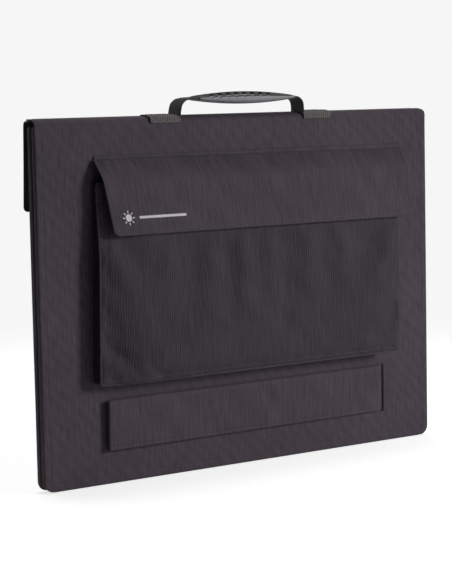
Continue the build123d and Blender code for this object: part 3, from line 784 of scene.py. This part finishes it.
def gussetSway(u, v):
    # slack cloth: shallow puckers, deeper where it turns the lower corners
    corners = np.exp(-((u - 217) / 26) ** 2) + np.exp(-((u - gussetLength + 217) / 26) ** 2)
    slack = np.sin(math.pi * np.clip(v / pocketSize["depth"], 0, 1))
    pucker = np.sin(u / 3.1 + 1.3 * np.sin(u / 17)) * slack
    belly = -1.1 * slack ** 1.5
    return belly * (0.75 + 0.25 * np.sin(u / 41)) + (0.05 + 0.4 * corners) * pucker


gusset = {
    "box": (0, gussetLength, 0, pocketSize["depth"]), "thickness": 1.2, "shape": gussetShape, "step": 1.8,
    "edge": (0, 0.2, 0.6, 1.2, 2.0), "sway": gussetSway, "crosswise": True,
    "lift": lambda u, v, d: 0.5 * np.exp(-((v - 1.6) / 0.9) ** 2) + 0.5 * np.exp(-((v - 19.6) / 1.0) ** 2)}
# the gusset wears the near-black cloth of painted shadow
gussetSheet = makePanel("pocketGussetCloth", gusset, gussetClothPaintedShadow, "front_leaf", replaced=["pocket_gusset"])

pocketPanelBox = (-206.0, 206.0, 112.0, 330.0)


def bulgeBySimulation():
    # a pinned sheet with a little spare cloth, pushed out from inside, gives the soft belly
    cloth = {"step": 6.0, "pressure": 2.2, "frames": 20, "spare": -0.016, "most": 5.0}
    x0, x1, z0, z1 = pocketPanelBox
    xs = np.linspace(x0, x1, int((x1 - x0) / cloth["step"]) + 1)
    zs = np.linspace(z0, z1, int((z1 - z0) / cloth["step"]) + 1)
    gridX, gridZ = np.meshgrid(xs, zs, indexing="ij")
    n, m = gridX.shape
    rest = np.stack([gridX, pocketFront(gridZ) + 0 * gridX, gridZ], -1).reshape(-1, 3) * mm
    index = np.arange(n * m).reshape(n, m)
    quads = np.stack([index[:-1, :-1], index[1:, :-1], index[1:, 1:], index[:-1, 1:]], -1).reshape(-1, 4)
    mesh = bpy.data.meshes.new("pocketTrial")
    mesh.from_pydata(rest.tolist(), [], quads.tolist())
    trial = bpy.data.objects.new("pocketTrial", mesh)
    scene.collection.objects.link(trial)
    held = trial.vertex_groups.new(name="held")
    for i in range(n):
        for j in range(m):
            if i in (0, n - 1) or j in (0, m - 1):
                held.add([int(index[i, j])], 1.0, "REPLACE")
    modifier = trial.modifiers.new("cloth", "CLOTH")
    settings = modifier.settings
    settings.quality = 6
    settings.mass = 0.25
    settings.tension_stiffness = 20
    settings.compression_stiffness = 20
    settings.shear_stiffness = 8
    settings.bending_stiffness = 1.5
    settings.vertex_group_mass = "held"
    settings.use_pressure = True
    settings.uniform_pressure_force = cloth["pressure"]
    settings.shrink_min = cloth["spare"]
    settings.effector_weights.gravity = 0.35
    modifier.point_cache.frame_start = 1
    modifier.point_cache.frame_end = cloth["frames"]
    for number in range(1, cloth["frames"] + 1):
        scene.frame_set(number)
    shown = trial.evaluated_get(bpy.context.evaluated_depsgraph_get())
    moved = np.array([v.co for v in shown.data.vertices], float)
    out = ((rest[:, 1] - moved[:, 1]) / mm).reshape(n, m)
    bpy.data.objects.remove(trial)
    scene.frame_set(1)
    if abs(out.min()) > out.max():
        out = -out
    out = cloth["most"] * np.tanh(out / cloth["most"])
    print("pocket cloth shaped, mm", round(float(out.max()), 2))
    return xs, zs, out


bulgeX, bulgeZ, bulge = bulgeBySimulation()


def pocketBulge(u, v):
    a = np.clip((u - bulgeX[0]) / (bulgeX[1] - bulgeX[0]), 0, len(bulgeX) - 1.001)
    b = np.clip((v - bulgeZ[0]) / (bulgeZ[1] - bulgeZ[0]), 0, len(bulgeZ) - 1.001)
    i, j = a.astype(int), b.astype(int)
    p, q = smoothStep(0, 1, a - i), smoothStep(0, 1, b - j)
    out = (bulge[i, j] * (1 - p) * (1 - q) + bulge[i + 1, j] * p * (1 - q)
           + bulge[i, j + 1] * (1 - p) * q + bulge[i + 1, j + 1] * p * q)
    # the belly ends under the flap, where the tapes hold the cloth flat
    pull = np.exp(-(((u + 20) * 0.5 - (v - 190) * 0.86) / 30) ** 2)
    fold = np.exp(-(((u - 120) * 0.3 - (v - 150) * 0.95) / 11) ** 2) * smoothStep(20, 90, u)
    gather = np.sin((u + v) / 5.5) * np.exp(-(((u + 190) / 34) ** 2 + ((v - 128) / 26) ** 2))
    wrinkle = 0.22 * ripple(u, v, 21, 2) + 1.5 * pull + 0.7 * fold + 0.9 * gather
    return (out + wrinkle * smoothStep(0, 30, 206 - np.abs(u))) * (1 - smoothStep(252, 278, v))


def pocketShape(u, v):
    point, normal = flatFace(lambda a, b: seamFront(a, b) - 0.6, -1)(u, v)
    point[..., 0] += narrowing(u, v)
    return point, normal


pocketPanel = {
    "box": pocketPanelBox, "corners": (4.5, 4.5, 0, 0), "thickness": 1.2, "step": 3.6,
    "shape": pocketShape, "sway": pocketBulge,
    "lift": lambda u, v, d: 0.4 * hemLift(d, 3.0, row=4.2) + 0.3 * smoothStep(316, 317.5, v)}
# the pocket front wears the cloth with painted shade, darker for the flap's shadow on it
pocketSheet = makePanel("pocketFrontCloth", pocketPanel, pocketClothPaintedShade, "front_leaf",
                        replaced=["pocket_front_panel"])
makeStitches("pocketFrontStitches", [
    stitchRow(pocketPanel, [(u, min(v, 326)) for u, v in outlineInset(pocketPanel, 4.4, closed=False)]),
    stitchRow(pocketPanel, [(-202, 318), (202, 318)])], "front_leaf")

# piping along the front seam, a cord in a cloth sleeve
weltPath = pocketOutline(0.3)


def makeWelt():
    along, line = weltPath
    keep = (line[:, 1] < 326)
    line = line[keep][::2]
    slope = np.gradient(line, axis=0)
    slope /= np.linalg.norm(slope, axis=1)[:, None]
    turns = np.linspace(0, 2 * math.pi, 10, endpoint=False)
    rings = []
    for k, ((x, z), (dx, dz)) in enumerate(zip(line, slope)):
        y = seamFront(x, z) - 0.2
        x = x + narrowing(x, z)
        radius = 1.12 + 0.06 * math.sin(k * 0.9)
        rings.append([(x + radius * math.cos(a) * dz, y + radius * math.sin(a),
                       z - radius * math.cos(a) * dx) for a in turns])
    rings = np.array(rings)
    weave = np.zeros((len(rings), 10, 2))
    weave[:, :, 0] = np.arange(len(rings))[:, None] * 2.0
    weave[:, :, 1] = np.arange(10)[None, :] * 0.7
    piece = loft("pocketPiping", rings, caseCloth, "front_leaf", "case_fabric", weave=weave.reshape(-1, 2))
    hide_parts("pocket_seam_welt")


makeWelt()

# pocket flap: two layers turned and topstitched, stiff enough to hold its fold
flapSize = {"left": -201.0, "right": 230.0, "lean": 11.0, "rightLean": 3.0, "cutRun": 9.0, "cutRise": 2.0,
            "leftRise": 1.6, "thickness": 1.6, "sewnEdge": 8.0}
flapPath = smoothPath([(-33.6, 271.9), (-25.2, 331), (-20.5, 339), (-10.2, 352.0)], rounds=22)
flapLength = flapPath[0][-1]


def flapShape(u, v):
    s = flapSize
    width = s["right"] - s["left"]
    low = 1 - v / flapLength
    fromLeft = (s["right"] - u) / width
    cut = s["cutRise"] * np.clip(1 - (u - s["left"]) / s["cutRun"], 0, 1) ** 1.4 * low ** 6
    rise = s["leftRise"] * fromLeft * (v / flapLength) ** 3
    y, z, dy, dz = acrossPath(flapPath, v + cut)
    x = u + s["lean"] * low * fromLeft - s["rightLean"] * low * (1 - fromLeft)
    return np.stack([x, y, z + rise], -1), np.stack([0 * u, -dz, dy], -1)


flap = {
    "box": (flapSize["left"], flapSize["right"], 0, flapLength), "corners": (4, 3, 1, 1),
    "thickness": flapSize["thickness"], "shape": flapShape, "step": 3.6,
    "lift": lambda u, v, d: 0.35 * hemLift(d, 6.5, row=5.0),
    "sway": lambda u, v: (0.3 * ripple(u, v, 58, 4) * (1 - smoothStep(0, 18, v))
                          + 0.12 * ripple(u, v, 30, 6))}
flapSheet = makePanel("pocketFlapCloth", flap, caseCloth, replaced=["pocket_flap_panel"])
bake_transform(flapSheet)
flapRow = [(u, min(v, flapLength - flapSize["sewnEdge"])) for u, v in outlineInset(flap, 5.0, closed=False)]
makeStitches("pocketFlapStitches", [stitchRow(flap, flapRow)], "pocket_flap")
# the strip that the flap is sewn down by
flapSeam = {"box": (-199.5, 229, 349.5, 357.5), "thickness": 1.1, "shape": flatFace(-8.75, -1), "step": 3.0,
            "edge": (0, 0.15, 0.5, 1.1, 2.0), "corners": (1.5, 1.5, 1.5, 1.5)}
makePanel("pocketFlapSeamCloth", flapSeam, caseCloth, "front_leaf")
makeStitches("pocketFlapSeamStitches", [stitchRow(flapSeam, [(-197, 354.8), (227, 354.8)])], "front_leaf")


def makeMark():
    # a small printed sun and a bar, flat prisms of ink lying on the flap
    mark = {"u": -178.5, "v": 19.0, "disc": 4.0, "rays": 8, "rayStart": (5.2, 0.75), "rayEnd": (7.9, 0.45),
            "barStart": 14.0, "barLength": 62.0, "barHeight": 2.8, "barPieces": 6, "ink": 0.12, "sunk": 0.05}
    u0, v0 = mark["u"], mark["v"]
    turns = np.linspace(0, 2 * math.pi, 28, endpoint=False)
    outlines = [[(u0 + mark["disc"] * math.cos(a), v0 + mark["disc"] * math.sin(a)) for a in turns]]
    (near, wideNear), (far, wideFar) = mark["rayStart"], mark["rayEnd"]
    for k in range(mark["rays"]):
        a = 2 * math.pi * k / mark["rays"]
        cos, sin = math.cos(a), math.sin(a)
        corners = ((near, -wideNear), (far, -wideFar), (far, wideFar), (near, wideNear))
        outlines.append([(u0 + r * cos - w * sin, v0 + r * sin + w * cos) for r, w in corners])
    length, high = mark["barLength"] / mark["barPieces"], mark["barHeight"] / 2
    for k in range(mark["barPieces"]):  # the bar in short lengths so that it follows the cloth
        a = u0 + mark["barStart"] + k * length
        outlines.append([(a, v0 - high), (a + length, v0 - high), (a + length, v0 + high), (a, v0 + high)])
    points, faces = [], []
    for outline in outlines:
        surface, normal = onPanel(flap, [p[0] for p in outline], [p[1] for p in outline])
        base, n = len(points), len(outline)
        points += (surface - normal * mark["sunk"]).tolist() + (surface + normal * mark["ink"]).tolist()
        faces += [list(range(base, base + n))[::-1], list(range(base + n, base + 2 * n))]
        faces += [[base + i, base + (i + 1) % n, base + n + (i + 1) % n, base + n + i] for i in range(n)]
    piece = makeMesh("pocketFlapPrint", points, faces, printInk, "pocket_flap", "print_ink", smooth=False)
    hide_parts("pocket_flap_mark")


makeMark()
print("pocket made")

# support legs: a stay in a cloth sleeve, hinged by a strip of cloth at the right
legSize = {"left": -192.0, "right": 193.5, "low": 37.5, "high": 93.5, "thickness": 4.2, "gap": 0.4,
           "lift": 3.2, "taper": 8.0}


def makeLeg(sideName, side):
    s = legSize
    leaf, body = sideName + "_leaf", sideName + "_leg"
    run = s["right"] - s["taper"] - s["left"]

    def legDepth(u, v):
        off = s["lift"] * np.clip((s["right"] - s["taper"] - u) / run, 0, 1)
        near = face + s["gap"] + off + s["thickness"] / 2
        end = smoothStep(s["right"] - s["taper"], s["right"], u)
        return side * (near * (1 - end) + (face + 1.9) * end)

    def legThickness(u, v):
        return s["thickness"] - 2.6 * smoothStep(s["right"] - s["taper"], s["right"], u)

    leg = {"box": (s["left"], s["right"], s["low"], s["high"]), "corners": (1.6, 1.6, 1.6, 1.6),
           "thickness": legThickness, "shape": flatFace(legDepth, side), "step": 3.2,
           "edge": (0, 0.25, 0.8, 1.6, 2.6, 3.2, 3.8, 4.6),
           "lift": lambda u, v, d: -0.28 * np.exp(-((d - 3.4) / 0.7) ** 2),
           "sway": lambda u, v: 0.1 * ripple(u, v, 33, 8 + side)}
    sleeve = makePanel(sideName + "LegSleeve", leg, caseCloth, body, replaced=[sideName + "_leg_sleeve"])
    makeStitches(sideName + "LegStitches", [stitchRow(leg, outlineInset(leg, 3.4))], body)
    anchor = {"box": (196.8, 204.7, s["low"], s["high"]), "thickness": 2.9, "step": 2.0,
              "edge": narrowEdge[:5],
              "corners": (1, 1, 1, 1), "shape": flatFace(side * (face + 1.5), side),
              "lift": lambda u, v, d: 0.5 - 1.1 * np.exp(-((u - 202.9) / 0.7) ** 2)}
    makePanel(sideName + "LegAnchor", anchor, caseCloth, leaf, replaced=[sideName + "_leg_anchor"])
    rows = [stitchRow(anchor, [(x, s["low"] + 1.5), (x, s["high"] - 1.5)], 3.0) for x in (198.6, 202.9)]
    makeStitches(sideName + "LegAnchorStitches", rows, leaf)
    hinge = {"box": (192.6, 197.0, s["low"] + 0.4, s["high"] - 0.4), "thickness": 1.1, "step": 1.2,
             "edge": (0, 0.2, 0.6, 1.1), "shape": flatFace(side * (face + 1.0), side)}
    strip = makePanel(sideName + "LegHingeCloth", hinge, caseCloth)
    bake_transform(strip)
    for kind, material, owner, depth, thickness in (("loop", loopTape, leaf, 0.8, 1.6),
                                                    ("hook", hookTape, body, 2.45, 1.1)):
        tape = {"box": (-177, -127, 53, 78), "thickness": thickness, "step": 2.0, "edge": narrowEdge,
                "corners": (2, 2, 2, 2), "shape": flatFace(side * (face + depth), side)}
        makePanel(f"{sideName}Leg{kind.title()}Tape", tape, material, owner, "hook_and_loop",
                  [f"{sideName}_leg_{kind}_tape"])


makeLeg("front", -1)
makeLeg("back", 1)


def makeTape(name, line, material, body, node):
    path = smoothPath(line, rounds=0)
    tape = {"box": (-150, 150, 0, path[0][-1]), "thickness": 1.1, "step": 2.5, "edge": narrowEdge,
            "corners": (2, 2, 2, 2), "shape": bentAlongYz(path)}
    makePanel(name, tape, material, body, "hook_and_loop", [node])


makeTape("pocketHookTape", [(-30.65, 283), (-27.08, 308)], hookTape, "pocket_flap", "pocket_hook_tape")
makeTape("pocketLoopTape", [(-28.3, 283), (-25.65, 308)], loopTape, "front_leaf", "pocket_loop_tape")
makeTape("closureHookTape", [(16.9, 338), (18.1, 318)], hookTape, "closure_tail", "closure_hook_tape")
makeTape("closureLoopTape", [(8.6, 338), (8.6, 318)], loopTape, "back_leaf", "closure_loop_tape")
print("legs and tapes made")

# handle: two webbing patches, a strap and a moulded grip
patchPath = smoothPath([(-9.5, 390.4), (-9.7, 392.6), (-9.2, 395.2), (-6.4, 397.6), (1.2, 399.2),
                        (9.9, 399.4), (14.6, 397.2)], rounds=8)
patchLength = patchPath[0][-1]


def makePatch(sideName, low, high, corners):
    patch = {"box": (low, high, 0, patchLength), "corners": corners, "thickness": 1.5, "step": 1.6,
             "edge": narrowEdge, "shape": bentAlongYz(patchPath),
             "lift": lambda u, v, d: -0.35 * np.exp(-((d - 3.4) / 0.7) ** 2) + 0.1 * ripple(u, v, 7, 3)}
    piece = makePanel("handlePatch" + sideName, patch, patchWebbing, slot="webbing",
                      replaced=["handle_patch_" + sideName.lower()])
    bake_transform(piece)
    a, b, c, d = low + 3.4, high - 3.4, 12.0, patchLength - 3.4
    makeStitches("handlePatchStitches" + sideName,
                 [stitchRow(patch, [(a, c), (b, c), (b, d), (a, d), (a, c)], 2.8),
                  stitchRow(patch, [(a, c), (b, d)], 2.8), stitchRow(patch, [(a, d), (b, c)], 2.8)],
                 "closure_top", "webbing")


makePatch("Left", -126.0, -86.0, (3, 2, 2, 2))
makePatch("Right", 84.0, 126.0, (2, 8, 2, 8))

strapPath = smoothPath([(-86.5, 400.9), (-85.2, 406), (-82.6, 411.4), (-77.6, 415.2), (-70, 416.6),
                        (-60, 417), (0, 419.2), (72, 416.2), (79, 414.9), (83.6, 411.0),
                        (85.2, 405.5), (85.0, 400.9)], rounds=12)
strapLength = strapPath[0][-1]


def strapShape(u, v):
    # the feet are sewn down on the patches, so their ends follow the patches' crown
    point, normal = bentAlongXz(strapPath)(u, v)
    crown = np.interp(u, (-9, -6.4, 1.2, 9.9, 15), (394.9, 397.3, 399.2, 399.4, 397.0))
    toEnd = np.minimum(v, strapLength - v)
    point[..., 2] += (crown - strapPath[1][0, 1]) * (1 - smoothStep(0, 9, toEnd))
    return point, normal


strap = {"box": (-9, 15, 0, strapLength), "corners": (1, 1, 1, 1), "thickness": 1.8, "step": 1.8,
         "edge": narrowEdge, "shape": strapShape,
         "lift": lambda u, v, d: 0.12 * np.exp(-((d - 1.6) / 0.8) ** 2)}
strapSheet = makePanel("handleStrap", strap, strapWebbing, slot="webbing", replaced=["handle_webbing"])
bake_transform(strapSheet)


def arcHeight(x, left, middle, right):
    # the height at x of a curve through three (x, z) points
    coefficients = np.polyfit([left[0], middle[0], right[0]], [left[1], middle[1], right[1]], 2)
    return np.polyval(coefficients, x)


def roundedEnd(distance, radius=2.5):
    # how much of the full section stands at a distance from the grip's end
    return np.sqrt(np.clip(1 - (1 - np.clip(distance / radius, 0, 1)) ** 2, 0.3, 1))


def makeGrip():
    grip = {"left": -60.0, "right": 72.0, "halfWidth": 13.5, "middle": 3.0, "squareness": 3.2,
            "upper": (419.0, 423.3, 418.4), "lower": (414.2, 409.3, 413.6),
            "slots": 8, "slotStart": -42.0, "slotPitch": 11.2, "slotLean": 0.42, "slotHalfWidth": 3.3,
            "slotDepth": 3.2, "boreHalfWidth": 12.25, "boreHalfHeight": 1.0}
    left, right = grip["left"], grip["right"]
    endStops = np.array((0, 0.2, 0.7, 1.5))
    between = np.linspace(left + 2.5, right - 2.5, 210)
    xs = np.concatenate([left + endStops, between, (right - endStops)[::-1]])
    angles = np.linspace(0, 2 * math.pi, 128, endpoint=False)
    cos, sin = np.cos(angles), np.sin(angles)
    places = (left, (left + right) / 2, right)
    upper = arcHeight(xs, *zip(places, grip["upper"]))
    lower = arcHeight(xs, *zip(places, grip["lower"]))
    endRound = roundedEnd(xs - left) * roundedEnd(right - xs)
    centre, half = (upper + lower) / 2, (upper - lower) / 2
    boreZ = np.interp(xs, strapPath[1][:, 0][40:-40], strapPath[1][:, 1][40:-40])
    outer = np.zeros((len(xs), len(angles), 3))
    inner = np.zeros_like(outer)
    deep = np.zeros((len(xs), len(angles)))
    power = 2 / grip["squareness"]
    borePower = 2 / 9
    for k, x in enumerate(xs):
        width = grip["halfWidth"] * (0.93 + 0.07 * endRound[k])
        y = width * np.sign(cos) * np.abs(cos) ** power
        z = half[k] * endRound[k] * np.sign(sin) * np.abs(sin) ** power
        # the upper side leans in to a narrower top, the lower side stays full
        y = y * (1 - 0.3 * smoothStep(0.15, 1.0, z / half[k]))
        for j in range(grip["slots"]):
            size = 1.0 - 0.05 * j
            lean = grip["slotStart"] + j * grip["slotPitch"] + grip["slotLean"] * (y + 9)
            reach = np.clip((z / half[k] - 0.6) / (0.5 * size), -1, 1)
            wide = grip["slotHalfWidth"] * size * np.sqrt(np.clip(1 - reach ** 2, 0, 1))
            inSlot = smoothStep(-0.15, 0.6, wide - np.abs(x - lean))
            deep[k] = np.maximum(deep[k], inSlot * (wide > 0.2) * (np.abs(y) > 1.5))
        shrink = 1 - deep[k] * grip["slotDepth"] / 13.0
        drop = deep[k] * min(grip["slotDepth"], half[k] * 0.45)
        outer[k] = np.stack([x + 0 * y, grip["middle"] + y * shrink, centre[k] + z - drop * np.sign(z)], 1)
        boreY = grip["boreHalfWidth"] * np.sign(cos) * np.abs(cos) ** borePower
        boreRise = grip["boreHalfHeight"] * np.sign(sin) * np.abs(sin) ** borePower
        inner[k] = np.stack([x + 0 * y, grip["middle"] + boreY, boreZ[k] + boreRise], 1)
    kind = np.zeros((len(xs) - 1, len(angles)), int)
    rise = (outer[:-1, :, 2] - centre[:-1, None]) / half[:-1, None]
    kind[rise > 0.18] = 1
    # faces in the slots take the near-black painted shade
    kind[(deep[:-1] > 0.6) | (deep[1:] > 0.6)] = 2
    faceKinds = np.concatenate([kind.ravel(), np.zeros(kind.size, int), np.zeros(2 * len(angles), int)])
    piece = loft("handleGripMoulded", outer, [gripRubber, gripRubberRibbed, gripRubberSlotShade], "handle",
                 "grip_rubber", inner=inner, faceMaterials=faceKinds)
    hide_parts("handle_grip")


makeGrip()
print("handle made")

# frame pieces that keep their own shape, each with its real finish
nodeFinishes = {
    "closure_batten": batten, "bypass_diodes": diodeEpoxy, "cable_glands": boxPlastic,
    "junction_box_base": boxPlastic, "junction_box_lid": boxPlastic,
    "controller_case": controllerPlastic, "controller_lid": controllerPlastic,
    "controller_display": displayGlass, "controller_board": circuitLaminate,
    "controller_terminal_block": terminalPlastic, "controller_terminal_screws": zincSteel,
    "controller_lid_screws": zincSteel, "controller_menu_button": buttonSilicone,
    "controller_load_button": buttonSilicone}
for sideName in ("front", "back"):
    nodeFinishes[sideName + "_backing_board"] = boardPlastic
    nodeFinishes[sideName + "_leg_board"] = boardPlastic
    nodeFinishes[sideName + "_backsheet"] = backsheetFilm
    nodeFinishes[sideName + "_solar_cells"] = siliconCell
    nodeFinishes[sideName + "_cell_ribbons"] = tinnedCopper
    nodeFinishes[sideName + "_top_film"] = frontFilm
for node, material in nodeFinishes.items():
    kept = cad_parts[node]
    kept.data.materials.clear()
    kept.data.materials.append(material)
print("finishes set")

# studio: pale floor that fades into a pale surround, soft key from the front right
studio = {"surround": "#f6f6f6", "surroundFill": 0.045, "floorRadius": 3.0, "fadeStart": 0.45,
          "fadeEnd": 1.5, "keyPower": 64.0, "fillPower": 0.8, "topPower": 16.0, "lowPower": 2.2,
          "backPower": 16.0, "floorGlow": 0.66}


def makeFloor():
    mesh = bpy.data.meshes.new("paperFloor")
    disc = bmesh.new()
    bmesh.ops.create_circle(disc, cap_ends=True, segments=96, radius=studio["floorRadius"])
    disc.to_mesh(mesh)
    disc.free()
    floor = bpy.data.objects.new("paperFloor", mesh)
    floor.location = (0, 0, -0.0004)
    scene.collection.objects.link(floor)
    material, shader = startMaterial("seamlessPaper", {"Roughness": 0.9, "Specular IOR Level": 0.1})
    place = addNode(material, "ShaderNodeTexCoord").outputs["Object"]
    far = addNode(material, "ShaderNodeVectorMath", links={0: place}, operation="LENGTH")
    fibre = addNode(material, "ShaderNodeTexNoise", {"Scale": 220.0, "Detail": 3.0}, {"Vector": place})
    ramp = addNode(material, "ShaderNodeValToRGB", links={"Fac": fibre.outputs["Fac"]})
    ramp.color_ramp.elements[0].color = toLinear("#f2f2f2")
    ramp.color_ramp.elements[1].color = toLinear("#fafafa")
    fade = addNode(material, "ShaderNodeMapRange", {
        "From Min": studio["fadeStart"], "From Max": studio["fadeEnd"], "To Min": 1.0, "To Max": 0.0},
        {"Value": far.outputs["Value"]}, interpolation_type="SMOOTHSTEP")
    path = addNode(material, "ShaderNodeLightPath")
    glow = addNode(material, "ShaderNodeMath", {1: studio["floorGlow"]}, {0: path.outputs["Is Camera Ray"]},
                   operation="MULTIPLY")
    shader.inputs["Emission Color"].default_value = toLinear("#ffffff")
    plug(material, shader, Base_Color=ramp.outputs[0], Alpha=fade.outputs[0],
         Emission_Strength=glow.outputs[0])
    mesh.materials.append(material)


def makeLight(name, place, aim, size, power):
    data = bpy.data.lights.new(name, "AREA")
    data.shape = "RECTANGLE"
    data.size, data.size_y = size
    data.energy = power
    light = bpy.data.objects.new(name, data)
    light.location = place
    light.rotation_euler = (Vector(aim) - Vector(place)).to_track_quat("-Z", "Y").to_euler()
    scene.collection.objects.link(light)


def makeWorld():
    world = bpy.data.worlds.new("studioSurround")
    scene.world = world
    world.use_nodes = True
    world.node_tree.nodes.clear()
    path = addNode(world, "ShaderNodeLightPath")
    seen = addNode(world, "ShaderNodeBackground", {"Color": toLinear(studio["surround"]), "Strength": 1.0})
    felt = addNode(world, "ShaderNodeBackground", {
        "Color": toLinear("#ffffff"), "Strength": studio["surroundFill"]})
    mix = addNode(world, "ShaderNodeMixShader", links={0: path.outputs["Is Camera Ray"], 1: felt.outputs[0],
                                                       2: seen.outputs[0]})
    addNode(world, "ShaderNodeOutputWorld", links={"Surface": mix.outputs[0]})


makeFloor()
makeWorld()
makeLight("keySoftbox", (2.2, -2.3, 1.1), (0.05, 0, 0.18), (0.7, 0.8), studio["keyPower"])
makeLight("fillSoftbox", (-2.4, -1.5, 0.9), (0, 0, 0.22), (1.6, 1.6), studio["fillPower"])
makeLight("lowSoftbox", (0.45, -1.25, 0.1), (-0.05, 0, 0.02), (1.3, 0.18), studio["lowPower"])
makeLight("backSoftbox", (-1.3, 2.8, 1.1), (0, 0, 0.2), (2.4, 1.6), studio["backPower"])
makeLight("topSoftbox", (0.2, 0.5, 2.3), (0, 0, 0.3), (1.4, 0.9), studio["topPower"])
scene.view_settings.view_transform = "Standard"

# camera at the front left, a little above the case's middle
view = {"yaw": 35.15, "pitch": 6.1, "roll": -1.14, "distance": 2.157, "shiftRight": 0.0231,
        "shiftUp": 0.0237, "lens": 117.1}


def makeCamera():
    yaw, pitch, roll = (math.radians(view[k]) for k in ("yaw", "pitch", "roll"))
    forward = Vector((math.sin(yaw) * math.cos(pitch), math.cos(yaw) * math.cos(pitch), -math.sin(pitch)))
    right = Vector((math.cos(yaw), -math.sin(yaw), 0))
    up = right.cross(forward)
    right, up = right * math.cos(roll) + up * math.sin(roll), up * math.cos(roll) - right * math.sin(roll)
    place = Vector((0, -face * mm, 0.220)) - forward * view["distance"] \
        - right * view["shiftRight"] - up * view["shiftUp"]
    data = bpy.data.cameras.new("studioCamera")
    data.lens = view["lens"]
    data.sensor_width = 36.0
    data.clip_start, data.clip_end = 0.05, 60.0
    camera = bpy.data.objects.new("studioCamera", data)
    turn = Matrix((right, up, -forward)).transposed().to_4x4()
    camera.matrix_world = Matrix.Translation(place) @ turn
    scene.collection.objects.link(camera)
    scene.camera = camera


makeCamera()

print("studio set")
